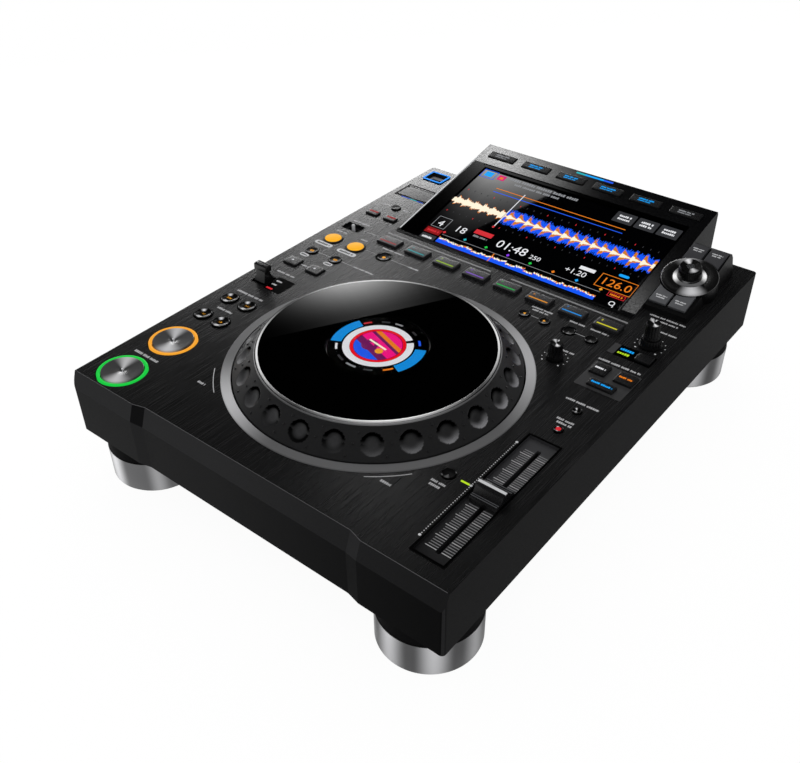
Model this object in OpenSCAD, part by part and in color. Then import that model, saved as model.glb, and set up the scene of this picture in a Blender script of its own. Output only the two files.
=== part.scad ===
// Tabletop DJ media player: flat control panel, tilted touch screen and jog wheel.
// Origin: centre of the footprint on the table. +X right, +Y to the back, +Z up.

/* [Case] */
// Width of the case
case_w = 331; // [325:1:335]
// Height of the case below the top panel
case_h = 50.5; // [48:0.5:54]
// Thickness of the case walls
wall_t = 2.5; // [2:0.5:3]
// Thickness of the top panel
panel_t = 2; // [1.5:0.5:2]
// Height of the top panel above the table
top_z = 88; // [86:1:92]
// Radius of the upright corners
corner_r = 3; // [3:0.5:6]

/* [Feet] */
// Radius of a foot
foot_r = 35; // [30:0.5:35]
// Height of the black collar between the case and the sleeve
collar_h = 10.8; // [8:0.1:14]

/* [Screen hood] */
// Tilt of the screen in degrees
hood_tilt = 12; // [11:0.5:13]
// Height of the hood above the top panel
hood_h = 30.4; // [29:0.2:31]

/* [Jog wheel] */
// Radius of the wheel
wheel_r = 103.6; // [102:0.1:104]
// Height of the wheel's slope
slope_h = 16.2; // [15:0.1:17]
// Finger dimples round the slope
dimple_count = 24; // [20:1:28]
// Depth of a dimple
dimple_depth = 2.2; // [1.6:0.1:2.6]

/* [Keys] */
// Gap round a key
key_gap = 0.35; // [0.25:0.05:0.5]
// Height of the hot cue keys
cue_key_h = 2; // [1:0.1:2.5]

/* [Tempo slider] */
// Travel of the tempo slider
tempo_travel = 100; // [80:1:100]
// Height of the slider cap
cap_h = 8; // [6:0.5:10]

/* [Hidden] */
$fn = 48;
e = 0.01;

// Layout on the panel: its own origin is 10.5 mm behind the footprint's centre.
panel_y = -10.5;
half_w = case_w / 2;
case_rear = 214;
front_end = -216;
front_mid = -213.7;
step_in = 92;
step_out = 102;

// Screen hood
hood_x0 = -113.5;
hood_x1 = 116.5;
hood_y0 = 92;
hood_rear = 237;
rim_x0 = hood_x0 + 2.5;
rim_x1 = hood_x1 - 2.5;
rim_rear = case_rear - wall_t + 0.2;
hood_roof_t = 3;
pocket_x = [-111.2, 105];
pocket_s = [1, 118];
window_x = [-97, 103.5];
window_s = [2, 113.5];
menu_x = [for (i = [0:5]) -90 + 36.9 * i];
menu_s = 132.5;

// Selector block right of the hood
sel_x0 = 117;
sel_x1 = 152;
sel_y0 = 108.6;
sel_y1 = 196;
dial_x = 133.3;
dial_s = 60.2;
dial_r = 22.3;
shaft_r = 3;
fit = 0.05;
sel_key_x = [124.6, 140.6];
sel_key_s = [34, 89];
sel_key_w = 14;
sel_key_d = 22;

// Jog wheel
jog_pos = [2.8, -74.7];
post_r = 40;
trim_r = 111.9;
trim_bore_r = 104.8;
disc_r = 84;
disc_z = 17.4;
slope_top_r = wheel_r - slope_h;
dimple_a = 7.75;
dimple_ball_r = dimple_a * dimple_a / (2 * dimple_depth) + dimple_depth / 2;
dimple_mid_r = 95.5;
dimple_mid_z = 1.2 + wheel_r - dimple_mid_r;
leg_r = 62;

// Controls, as [x, y] on the panel
play_pos = [-138.4, -190.7];
cue_pos = [-138.4, -143.6];
light_flange_r = 19.8;
track_pos = [[-147.5, -77.5], [-128.1, -77.5]];
search_pos = [[-147.5, -105.5], [-128.1, -105.5]];
lever_pos = [-147, -40];
jump_pos = [[-147.4, -5], [-122.9, -5]];
small_loop_pos = [[-147.3, 18], [-121, 18]];
reloop_pos = [-92, 47];
loop_pos = [[-147.2, 45], [-121.8, 45]];
mode_pos = [-147, 71.5];
source_pos = [[-150.1, 102.6], [-130, 102.6]];
stop_pos = [-139.6, 122.8];
sd_pos = [-140, 157.5];
usb_pos = [-147.9, 196.2];
cue_y = 69.8;
cue_pitch = 30.2;
cue_x0 = 2.1 - 3.5 * cue_pitch;
call_pos = [[48.4, 46], [66.3, 46]];
delete_pos = [87.5, 46.5];
memory_pos = [106.4, 46];
adjust_pos = [97, 10.5];
vinyl_pos = [144, 66.5];
range_pos = [140.5, -33];
master_pos = [140.5, -57];
reset_pos = [109, -135];
slider_x = 141;
slider_y = -135;
tray_x = [127.5, 152.5];
tray_y = [-198.75, -71.25];
slot_half = tempo_travel / 2 + 5;
lever_window = [-130, -39.75, 17.5, 19.5];
mode_window = [139.1, 47.5, 34.2, 14];
sync_plate = [140.1, 10, 36.2, 32.5];
mode_key = [149, 47.5, 12, 10];
white_key = [130, 17.5, 12, 13];
orange_key = [150, 17.5, 14, 13];
blue_key = [140, 1.2, 20, 8.4];
screw_pos = concat(
    [for (x = [-1, 1], y = [-140, 0, 140]) [x * (half_w - 8), y]],
    [for (x = [-60, 60]) [x, -200]]
);
foot_pos = [for (x = [-129.6, 129.6], y = [-180.9, 178.5]) [x, y]];
inlet_x = -85;
socket_z = -28;
network_x = -30;
usb_b_x = 0;
jack_x = [40, 58, 76];

// Places children in the panel's own frame
module panel() {
    translate([0, panel_y, top_z]) children();
}

// Places children at x and slope distance s on the tilted screen plane
module on_hood(x, s) {
    panel() translate([x, hood_y0, 0]) rotate([hood_tilt, 0, 0]) translate([0, s, 0]) children();
}

module at(p, z = 0) {
    panel() translate([p[0], p[1], z]) children();
}

// Rounded rectangle with true corner arcs, centred
module rounded_rect(w, d, r) {
    square([w - 2 * r, d], center = true);
    square([w, d - 2 * r], center = true);
    for (x = [-1, 1], y = [-1, 1]) translate([x * (w / 2 - r), y * (d / 2 - r)]) circle(r);
}

module block(w, d, r, z0, z1) {
    translate([0, 0, z0]) linear_extrude(z1 - z0) rounded_rect(w, d, r);
}

module rod(r, z0, z1) {
    translate([0, 0, z0]) cylinder(r = r, h = z1 - z0);
}

// Box from its two opposite corners
module span(a, b) {
    translate(a) cube(b - a);
}

// Plan view of the case with the two front corners standing forward of the middle
module case_plan(inset = 0) {
    w = half_w - inset;
    polygon([
        [-w, case_rear - inset], [-w, front_end + inset], [-step_out, front_end + inset],
        [-step_in, front_mid + inset], [step_in, front_mid + inset],
        [step_out, front_end + inset], [w, front_end + inset], [w, case_rear - inset]
    ]);
}

// Wedge that cuts the bevel along the front edge over one stretch of x
module bevel_cut(x0, x1, y, drop, run) {
    translate([x0, 0, 0]) rotate([90, 0, 90]) linear_extrude(x1 - x0)
        polygon([[y - 3, -drop], [y, -drop], [y + run, 0], [y + run, 3], [y - 3, 3]]);
}

// Whole outside of the case with its front bevels, from the bottom to the panel's top
module case_outer() {
    intersection() {
        difference() {
            translate([0, 0, -case_h]) linear_extrude(case_h) case_plan();
            for (side = [-1, 1]) {
                bevel_cut(side < 0 ? -half_w - 1 : step_out, side < 0 ? -step_out : half_w + 1,
                    front_end, 12.5, 4.6);
                hull() {
                    bevel_cut(side * step_out - e, side * step_out + e, front_end, 12.5, 4.6);
                    bevel_cut(side * step_in - e, side * step_in + e, front_mid, 14, 5.2);
                }
            }
            bevel_cut(-step_in, step_in, front_mid, 14, 5.2);
        }
        translate([0, (case_rear + front_end) / 2, 0])
            block(case_w, case_rear - front_end, corner_r, -case_h - 1, 1);
    }
}

// One slice of the case between two heights
module case_slab(z0, z1) {
    intersection() {
        case_outer();
        span([-half_w - 1, front_end - 1, z0], [half_w + 1, case_rear + 1, z1]);
    }
}

// Round key: cap, retaining skirt and stem; z = 0 is the panel's top
module round_key(r, h, dish = 0) {
    difference() {
        union() {
            rod(r, -panel_t - 0.1, h);
            rod(r + 1.2, -panel_t - 1.6, -panel_t - 0.1);
            rod(min(r, 3), -8.5, -panel_t - 1.6);
        }
        if (dish > 0) translate([0, 0, h + 2 * r - dish]) sphere(r = 2 * r, $fn = 64);
    }
}

// Rectangular key in the same build
module rect_key(w, d, h, r = 0.8) {
    block(w, d, r, -panel_t - 0.1, h);
    block(w + 2, d + 2, r, -panel_t - 1.6, -panel_t - 0.1);
    rod(2.5, -8.5, -panel_t - 1.6);
}

module key_at(k, h) {
    at(k) rect_key(k[2], k[3], h);
}

// Openings through the top panel
module panel_openings() {
    z0 = -panel_t - 1;
    z1 = 1;
    g = 2 * key_gap;
    translate([jog_pos[0], jog_pos[1], 0]) rod(trim_bore_r + 1.8, z0, z1);
    span([rim_x0 - 0.2, hood_y0 + 0.8, z0], [rim_x1 + 0.2, rim_rear, z1]);
    span([120, 114, z0], [146.5, 190, z1]);
    for (p = [play_pos, cue_pos]) translate(p) rod(19, z0, z1);
    for (p = concat(track_pos, search_pos)) translate(p) rod(7 + key_gap, z0, z1);
    translate(lever_pos) block(16, 16, 2, z0, z1);
    for (p = jump_pos) translate(p) block(13.5 + g, 11 + g, 1, z0, z1);
    for (p = small_loop_pos) translate(p) rod(5.5 + key_gap, z0, z1);
    for (p = loop_pos) translate(p) rod(8.7 + key_gap, z0, z1);
    translate(reloop_pos) rod(7.6, z0, z1);
    translate(mode_pos) block(20, 12.5, 2, z0, z1);
    for (p = source_pos) translate(p) block(12.5 + g, 7 + g, 1, z0, z1);
    translate(stop_pos) rod(4.5 + key_gap, z0, z1);
    span([sd_pos[0] - 18.2, sd_pos[1] - 9.8, z0], [sd_pos[0] + 18.2, sd_pos[1] + 9.8, z1]);
    translate(usb_pos) block(21.7, 18.5, 2, z0, z1);
    for (i = [0:7]) translate([cue_x0 + i * cue_pitch, cue_y]) block(21 + g, 12 + g, 1, z0, z1);
    for (p = call_pos) translate(p) rod(4.6 + key_gap, z0, z1);
    translate(delete_pos) rod(6.5, z0, z1);
    translate(memory_pos) rod(4.8 + key_gap, z0, z1);
    translate(adjust_pos) rod(shaft_r + 0.5, z0, z1);
    translate(vinyl_pos) rod(5, z0, z1);
    for (p = [range_pos, master_pos]) translate(p) rod(3.5 + key_gap, z0, z1);
    translate(reset_pos) rod(5 + key_gap, z0, z1);
    span([tray_x[0], tray_y[0], z0], [tray_x[1], tray_y[1], z1]);
    for (k = [lever_window, mode_window, sync_plate])
        translate([k[0], k[1]]) block(k[2], k[3], 1, z0, z1);
}

module upper_case() {
    color("#1b1b1d") panel() {
        difference() {
            case_slab(-case_h, -panel_t);
            translate([0, 0, -case_h - 1]) linear_extrude(case_h + 2) intersection() {
                case_plan(wall_t);
                translate([-half_w, front_end + 9]) square([case_w, 500]);
            }
            span([-120, case_rear - wall_t - 1, -45], [120, case_rear + 1, -12]);
            translate(play_pos) rod(light_flange_r + 0.3, -6, 0);
        }
        for (p = screw_pos) difference() {
            translate(p) rod(5, -case_h + 1.5, -24);
            translate(p) rod(1.3, -case_h, -28);
        }
        for (p = screw_pos) if (abs(p[0]) > 100)
            span([p[0] > 0 ? p[0] + 4 : -half_w + 1, p[1] - 1.5, -case_h + 1.5],
                [p[0] > 0 ? half_w - 1 : p[0] - 4, p[1] + 1.5, -24]);
        for (p = screw_pos) if (abs(p[0]) < 100)
            span([p[0] - 1.5, front_end + 8, -case_h + 1.5], [p[0] + 1.5, p[1] - 4, -24]);
    }
}

module bottom_plate() {
    color("#3a3b3d") panel() difference() {
        translate([0, 0, -case_h]) linear_extrude(1.5) intersection() {
            case_plan(wall_t);
            translate([-half_w, front_end + 9]) square([case_w, 500]);
        }
        for (p = screw_pos) translate(p) rod(1.7, -case_h - 1, 0);
        for (p = foot_pos) translate(p) rod(2.2, -case_h - 1, 0);
        for (i = [-6:6]) translate([i * 9, 40, -case_h - 1]) linear_extrude(4)
            rounded_rect(3, 40, 1.4);
    }
}

module top_panel() {
    color("#1c1c1e") panel() difference() {
        case_slab(-panel_t, 0);
        panel_openings();
    }
}

module rear_panel() {
    color("#2c2c2e") panel() difference() {
        span([-120, case_rear - wall_t, -45], [120, case_rear - 0.5, -12]);
        translate([0, case_rear, socket_z]) rotate([90, 0, 0]) {
            translate([inlet_x, 0]) block(28, 20, 2, -1, 5);
            translate([network_x, 0]) block(15, 13, 0.5, -1, 5);
            translate([usb_b_x, 0]) block(11.4, 10.8, 0.5, -1, 5);
            for (x = jack_x) translate([x, 0]) rod(4.6, -1, 5);
        }
    }
}

// Side outline of the hood, y and z
module hood_side() {
    polygon([
        [hood_y0 - 2, 0], [hood_y0 - 1.7, 0.8], [hood_y0 + 0.8 / tan(hood_tilt), 0.8],
        [hood_y0 + hood_h / tan(hood_tilt), hood_h], [hood_rear - 0.5, hood_h - 3],
        [hood_rear, -4], [case_rear, -16], [case_rear, 0]
    ]);
}

// Inside of the hood, open to the case below
module hood_inside() {
    rear = hood_y0 + hood_h / tan(hood_tilt) - 1.6;
    roof_drop = hood_roof_t / cos(hood_tilt);
    polygon([
        [95.6, -14], [95.6, -2.3], [rear, (rear - hood_y0) * tan(hood_tilt) - roof_drop],
        [hood_rear - 2.7, hood_h - 7], [hood_rear - 2.5, -2.2], [case_rear + 2, -11.8],
        [case_rear + 2, 0.6], [rim_rear - 2.2, 0.6], [rim_rear - 2.2, -14]
    ]);
}

module along_x(x0, x1) {
    translate([x0, 0, 0]) rotate([90, 0, 90]) linear_extrude(x1 - x0) children();
}

module screen_hood() {
    color("#242428") difference() {
        panel() {
            along_x(hood_x0, hood_x1) hood_side();
            span([rim_x0, hood_y0 + 1, -13], [rim_x1, rim_rear - 0.2, e]);
        }
        panel() along_x(rim_x0 + 2, rim_x1 - 2) hood_inside();
        on_hood(0, 0) span([pocket_x[0], pocket_s[0], -3.3], [pocket_x[1], pocket_s[1], 3]);
        for (x = menu_x) on_hood(x, menu_s)
            block(28 + 2 * key_gap, 9 + 2 * key_gap, 1, -5, 3);
        on_hood(0, 0) span([-17, 142, -0.8], [20, 144.3, 1]);
        on_hood(dial_x, dial_s) rod(dial_r + 0.3, -10.4, 4);
    }
}

module screen_bezel() {
    color("#0c0c0d") on_hood(0, 0) difference() {
        span([pocket_x[0], pocket_s[0], -1.5], [pocket_x[1], pocket_s[1], 0]);
        span([window_x[0], window_s[0], -2], [window_x[1], window_s[1], 1]);
        span([window_x[0] - 3, pocket_s[1] - 2.5, -0.6], [pocket_x[1] + 1, pocket_s[1] + 1, 1]);
    }
}

module screen_glass() {
    color("#10131c") on_hood(0, 0) span([-104, 1.2, -3.1], [104.6, 117, -1.5]);
}

module screen_module() {
    color("#8b8e92") on_hood(0, 0) difference() {
        union() {
            span([-103.5, 5, -8.5], [104, 116, -3.1]);
            span([-90, 12, -11], [90, 108, -9.9]);
            for (x = [-85, 85], y = [18, 102]) translate([x, y, 0]) rod(3, -10, -8.4);
            for (x = [-60, 0, 60]) span([x - 9, 50, -13.5], [x + 9, 66, -10.9]);
        }
        span([-98, 8, -9], [98, 113, -7.3]);
        for (x = [-85, 85], y = [18, 102]) translate([x, y, 0]) rod(1.2, -12, -6);
    }
    color("#8b8e92") on_hood(0, 0) for (x = [-103.5, 101], y = [30, 90])
        span([x, y - 5, -10.5], [x + 3, y + 5, -8.4]);
}

// Drafted block beside the hood: side outline crossed with its front view
module selector_block(inset = 0) {
    top = function(y) (y - hood_y0) * tan(hood_tilt) - inset;
    intersection() {
        along_x(sel_x0 + inset, sel_x1) polygon([
            [sel_y0 + inset, -inset], [sel_y0 + 1 + inset, top(sel_y0 + 1 + inset)],
            [sel_y1 - 6 - inset, top(sel_y1 - 6 - inset)],
            [sel_y1 - 2.5 - inset, top(sel_y1 - 4.5 - inset) - 1],
            [sel_y1 - 0.8 - inset, top(sel_y1 - 6 - inset) - 4], [sel_y1 - inset, -inset]
        ]);
        translate([0, 250, 0]) rotate([90, 0, 0]) linear_extrude(200) polygon([
            [sel_x0, -4], [sel_x1 - inset, -4], [sel_x1 - inset, 0], [sel_x1 - 3.6 - inset, 22],
            [sel_x0, 22]
        ]);
    }
}

// The four keys' outlines: rectangles with an arc cut out where they meet the dial's ring
module selector_key_shape(grow, z0, z1) {
    on_hood(0, 0) difference() {
        for (x = sel_key_x, s = sel_key_s) translate([x, s])
            block(sel_key_w + 2 * grow, sel_key_d + 2 * grow, 1.2, z0, z1);
        translate([dial_x, dial_s]) rod(dial_r + 0.9 - grow, z0 - 1, z1 + 1);
    }
}

module selector_housing() {
    color("#1d1d1f") difference() {
        union() {
            panel() selector_block();
            on_hood(dial_x, dial_s) rod(dial_r, -10, -2);
        }
        panel() span([100, sel_y0 - 1, -15], [160, sel_y1 + 1, 0]);
        panel() intersection() {
            selector_block(2.6);
            span([120, 114, -5], [150, 190, 30]);
        }
        on_hood(dial_x, dial_s) rod(dial_r + 0.3, -2, 4);
        on_hood(dial_x, dial_s) rod(8, -12, 4);
        selector_key_shape(key_gap, -8, 4);
    }
}

module selector_ring() {
    color("#a8adb3") on_hood(dial_x, dial_s) rotate_extrude($fn = 96) polygon([
        [9.7, -2], [dial_r, -2], [dial_r, 2.2], [dial_r - 0.8, 3], [13.2, 3], [12.6, 2.6],
        [12.2, 3.2], [10.2, 3.2], [9.7, 2.8]
    ]);
}

module selector_shaft() {
    color("#777a7e") on_hood(dial_x, dial_s) {
        rod(shaft_r, -8, 12.8);
        rod(4.5, 1, 2.2);
    }
}

module selector_knob() {
    color("#c9ccd1") on_hood(dial_x, dial_s) difference() {
        rotate_extrude($fn = 64) polygon([
            [shaft_r + fit, 4], [9, 4], [9, 13.6], [8, 14.8], [0, 15.6], [0, 12.9],
            [shaft_r + fit, 12.9]
        ]);
        for (i = [0:17]) rotate([0, 0, i * 20]) translate([9.5, 0, 3]) cylinder(r = 0.9, h = 10);
    }
}

module selector_keys() {
    color("#3c3d40") {
        selector_key_shape(0, -3.4, 1.5);
        for (x = sel_key_x, s = [31, 92]) on_hood(x, s) rod(1.8, -4.6, -3.4);
    }
}

module menu_keys() {
    color("#2e3034") for (x = menu_x) on_hood(x, menu_s) {
        block(28, 9, 1, -3.2, 1);
        block(29.6, 10.6, 1, -4.6, -3.2);
        for (u = [-9, 9]) translate([u, 0, 0]) rod(2, -6.4, -4.6);
    }
}

module jog_trim_ring() {
    color("#b9bcc0") at(jog_pos) rotate_extrude($fn = 120) polygon([
        [trim_bore_r, -2.4], [trim_bore_r + 1.8, -2.4], [trim_bore_r + 1.8, 0], [trim_r, 0],
        [trim_r, 0.3], [trim_r - 0.6, 0.8], [trim_bore_r, 0.8]
    ]);
}

module jog_mount() {
    color("#5b5d60") at(jog_pos) {
        rotate_extrude($fn = 96) polygon([
            [30, -17.3], [68, -17.3], [68, -14.6], [post_r, -14.6], [post_r, 15.4],
            [36.2, 15.4], [36.2, 12], [30, 12]
        ]);
        for (i = [0:2]) rotate([0, 0, 30 + 120 * i]) translate([leg_r, 0, 0])
            rod(5, -case_h + 1.5, -17.3);
    }
}

module jog_wheel() {
    color("#17171a") at(jog_pos) difference() {
        rotate_extrude($fn = 120) polygon([
            [post_r + fit, -14.2], [post_r + 4, -14.2], [post_r + 4, 1], [99.5, 1],
            [100.5, -2.5], [wheel_r, -2.5], [wheel_r, 1.2], [slope_top_r, disc_z],
            [72, disc_z], [72, 15], [84.5, 15], [95.5, 4], [post_r + fit, 4]
        ]);
        for (i = [0:dimple_count - 1]) rotate([0, 0, 7.3 + i * 360 / dimple_count])
            translate([
                dimple_mid_r + (dimple_ball_r - dimple_depth) * cos(45), 0,
                dimple_mid_z + (dimple_ball_r - dimple_depth) * sin(45)
            ]) sphere(r = dimple_ball_r);
    }
}

module jog_chrome_ring() {
    color("#d5d7da") at(jog_pos) rotate_extrude($fn = 120) polygon([
        [disc_r + 0.1, disc_z], [slope_top_r - 0.3, disc_z], [slope_top_r - 0.3, 18.6],
        [86, 19.6], [disc_r + 0.1, 19.6]
    ]);
}

module jog_disc() {
    color("#09090a") at(jog_pos, disc_z) cylinder(r = disc_r, h = 2, $fn = 120);
}

module jog_display() {
    color("#22232a") at(jog_pos) {
        rod(36, 13.4, 17);
        rod(33, 12, 13.4);
        span([-14, -14, 4], [14, 14, 12]);
    }
}

module slider_panel() {
    mid = [(tray_x[0] + tray_x[1]) / 2, (tray_y[0] + tray_y[1]) / 2];
    size = [tray_x[1] - tray_x[0], tray_y[1] - tray_y[0]];
    color("#2b2c2e") panel() difference() {
        union() {
            span([tray_x[0], tray_y[0], -4], [tray_x[1], tray_y[1], 0.4]);
            span([tray_x[0] - 2, tray_y[0] - 2, -4], [tray_x[1] + 2, tray_y[1] + 2, -panel_t]);
        }
        translate(mid) block(size[0] - 2.4, size[1] - 2.4, 1, -2.5, 1);
        translate([slider_x, slider_y]) block(3.2, 2 * slot_half, 1.2, -5, 0);
    }
}

module tempo_fader() {
    color("#6d7074") at([slider_x, slider_y]) difference() {
        span([-9, -62, -20], [9, 62, -4]);
        span([-5, -slot_half - 4, -17], [5, slot_half + 4, -6]);
        span([-1.8, -slot_half, -7], [1.8, slot_half, -3]);
    }
    color("#2f5f3a") at([slider_x, slider_y]) span([-12, -62, -21.6], [12, 62, -20]);
}

module tempo_slider() {
    color("#141415") at([slider_x, slider_y]) {
        translate([-10, 0, 0]) rotate([90, 0, 90]) linear_extrude(20) polygon([
            [-12, -1.8], [12, -1.8], [12, 2.4], [10.8, 3.6], [9.6, 3], [8.4, 3.6], [7.2, 3],
            [5.6, 3.2], [2.6, cap_h - 1], [2, cap_h], [-2, cap_h], [-2.6, cap_h - 1],
            [-5.6, 3.2], [-7.2, 3], [-8.4, 3.6], [-9.6, 3], [-10.8, 3.6], [-12, 2.4]
        ]);
        span([-1.3, -4, -14], [1.3, 4, -1.8]);
        span([-4.7, -7, -16.7], [4.7, 7, -12]);
    }
}

module foot_sleeves() {
    color("#c2c4c7") for (p = foot_pos) at(p, -case_h) rotate_extrude($fn = 96) polygon([
        [foot_r - 3, -collar_h], [foot_r - 0.5, -collar_h], [foot_r, -collar_h - 0.5],
        [foot_r, -case_h + 14], [foot_r - 0.5, -case_h + 13.5], [foot_r - 3, -case_h + 13.5]
    ]);
}

module foot_cores() {
    bottom = case_h - top_z;
    color("#161617") for (p = foot_pos) at(p, -case_h) difference() {
        rotate_extrude($fn = 96) polygon([
            [0, bottom], [foot_r - 1.2, bottom], [foot_r - 0.8, bottom + 0.5],
            [foot_r - 3, bottom + 0.5], [foot_r - 3, -collar_h], [foot_r - 0.4, -collar_h],
            [foot_r - 0.4, 0], [0, 0]
        ]);
        rod(26, bottom + 4, -6);
        rod(1.9, -7, 1);
    }
}

// Lit collar round a large transport key
module light_ring(p) {
    at(p) rotate_extrude($fn = 96) polygon([
        [15.7, -panel_t], [17.6, -panel_t], [17.6, -3.8], [light_flange_r, -3.8],
        [light_flange_r, -panel_t],
        [19, -panel_t], [19, 0.2], [18.7, 0.4], [15.9, 0.4], [15.7, 0.2]
    ]);
}

module play_light_ring() {
    color("#35d67a") light_ring(play_pos);
}

module cue_light_ring() {
    color("#f0a030") light_ring(cue_pos);
}

// Large metal key with a dimple in its centre
module transport_key(p) {
    at(p) rotate_extrude($fn = 96) polygon([
        [0, -8.5], [5, -8.5], [5, -3.6], [17.2, -3.6], [17.2, -2.4], [15.4, -2.4],
        [15.4, 0.5], [14.9, 1], [7, 0.6], [0, -0.4]
    ]);
}

module play_button() {
    color("#8e9196") transport_key(play_pos);
}

module cue_button() {
    color("#8e9196") transport_key(cue_pos);
}

module track_search_keys() {
    color("#4a4b4e") for (p = track_pos) at(p) round_key(7, 1, 0.7);
}

module search_keys() {
    color("#4a4b4e") for (p = search_pos) at(p) round_key(7, 1, 0.7);
}

module direction_lever() {
    color("#1a1a1b") at(lever_pos) {
        along_x(-5.5, 5.5) polygon([[-2.6, 9.6], [-3.6, 1], [-2.2, -5], [2.2, -5], [3.6, 1], [2.6, 9.6]]);
        along_x(-7, 7) polygon([
            [-3.4, 9.6], [3.4, 9.6], [3.4, 13.6], [2.6, 14.6], [-2.6, 14.6], [-3.4, 13.6]
        ]);
        translate([-7.8, 0, -5]) rotate([0, 90, 0]) cylinder(r = 1.5, h = 15.6);
        translate([-5.5, 0, -5]) rotate([0, 90, 0]) cylinder(r = 2.2, h = 11);
    }
}

module beat_jump_keys() {
    color("#2a2b2d") for (p = jump_pos) at(p) rect_key(13.5, 11, 1.5);
}

module beat_loop_keys() {
    color("#2a2b2d") {
        for (p = small_loop_pos) at(p) round_key(5.5, 1, 0.5);
        at(reloop_pos, -0.6) round_key(5.5, 0.8, 0.5);
    }
}

module loop_keys() {
    color("#f6a21c") for (p = loop_pos) at(p) round_key(8.7, 1);
}

module mode_switch() {
    color("#3a3b3e") at(mode_pos) {
        rod(1.5, -6, 2.5);
        rotate([90, 0, 0]) translate([0, -6, -4.4]) cylinder(r = 1.2, h = 8.8);
        rotate([90, 0, 0]) translate([0, -6, -2.6]) cylinder(r = 2.2, h = 5.2);
    }
}

module source_keys() {
    color("#6b2023") for (p = source_pos) at(p) rect_key(12.5, 7, 1.5);
    color("#2a2b2d") at(stop_pos) round_key(4.5, 1.2);
}

module sd_slot() {
    color("#202023") at(sd_pos) difference() {
        union() {
            span([-18.2, -9.8, -14], [18.2, 9.8, -1.6]);
            for (x = [-1, 1]) translate([x * 17.5, 8.1, 0]) span([-0.7, -1.7, -2], [0.7, 1.7, 0]);
        }
        span([-16.7, -8.3, -6.2], [16.7, 9.3, 0]);
        span([-12.5, -1.3, -13], [12.5, 1.3, -6]);
        translate([-20, 7.7, -1.2]) rotate([0, 90, 0]) cylinder(r = 0.85, h = 40);
    }
}

module sd_door() {
    color("#141416") at(sd_pos) {
        span([-17.8, -9.3, -1.4], [17.8, 5.9, 0.2]);
        span([-16.4, 5.8, -1.4], [16.4, 8.7, 0.2]);
        translate([-16.4, 7.7, -1.2]) rotate([0, 90, 0]) cylinder(r = 1.1, h = 32.8);
        translate([-18, 7.7, -1.2]) rotate([0, 90, 0]) cylinder(r = 0.8, h = 36);
    }
}

module usb_port() {
    color("#1f2a44") at(usb_pos) difference() {
        union() {
            block(21.7, 18.5, 2, -16, 0.8);
            block(23.7, 20.5, 2, -4, -panel_t);
        }
        block(17.7, 14.5, 1.2, -3.5, 2);
        span([-6.3, -2.6, -14], [6.3, 2.6, 0]);
    }
    color("#d8d9dc") at(usb_pos) span([-5.5, 0.4, -14.2], [5.5, 2.2, -9]);
}

// One hot cue key, counted from the left
module hot_cue(i) {
    color("#2c2d30") at([cue_x0 + (i - 1) * cue_pitch, cue_y]) rect_key(21, 12, cue_key_h);
}

module memory_keys() {
    color("#2a2b2d") {
        for (p = call_pos) at(p) round_key(4.6, 1, 0.4);
        at(delete_pos, -0.6) round_key(4.8, 0.8, 0.4);
        at(memory_pos) round_key(4.8, 1, 0.4);
    }
}

module jog_adjust_knob() {
    color("#2f3033") at(adjust_pos) difference() {
        rotate_extrude($fn = 64) polygon([
            [0, -7], [shaft_r, -7], [shaft_r, 0.5], [6.6, 0.5], [6.6, 2], [5.6, 3],
            [5, 12.4], [4.4, 13], [0, 13]
        ]);
        for (i = [0:13]) rotate([0, 0, i * 360 / 14]) translate([5.9, 0, 3.4])
            cylinder(r = 0.8, h = 12);
    }
}

module vinyl_touch_knob() {
    color("#2f3033") at(vinyl_pos) difference() {
        rotate_extrude($fn = 64) polygon([
            [0, -8], [shaft_r, -8], [shaft_r, 7.3], [6, 7.3], [6, 8.6], [5.5, 9.2], [5.5, 18.7],
            [4.8, 19.5], [0, 19.5]
        ]);
        for (i = [0:13]) rotate([0, 0, i * 360 / 14]) translate([5.9, 0, 9.8])
            cylinder(r = 0.8, h = 12);
    }
}

module vinyl_release_knob() {
    color("#2f3033") at(vinyl_pos) difference() {
        rotate_extrude($fn = 64) polygon([
            [shaft_r + fit, -6], [4.4, -6], [4.4, 0.5], [8.6, 0.5], [8.6, 1.6], [7.6, 2.6],
            [7.2, 6.4], [6.6, 7], [shaft_r + fit, 7]
        ]);
        for (i = [0:19]) rotate([0, 0, i * 18]) translate([7.9, 0, 3]) cylinder(r = 0.7, h = 6);
    }
}

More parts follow.
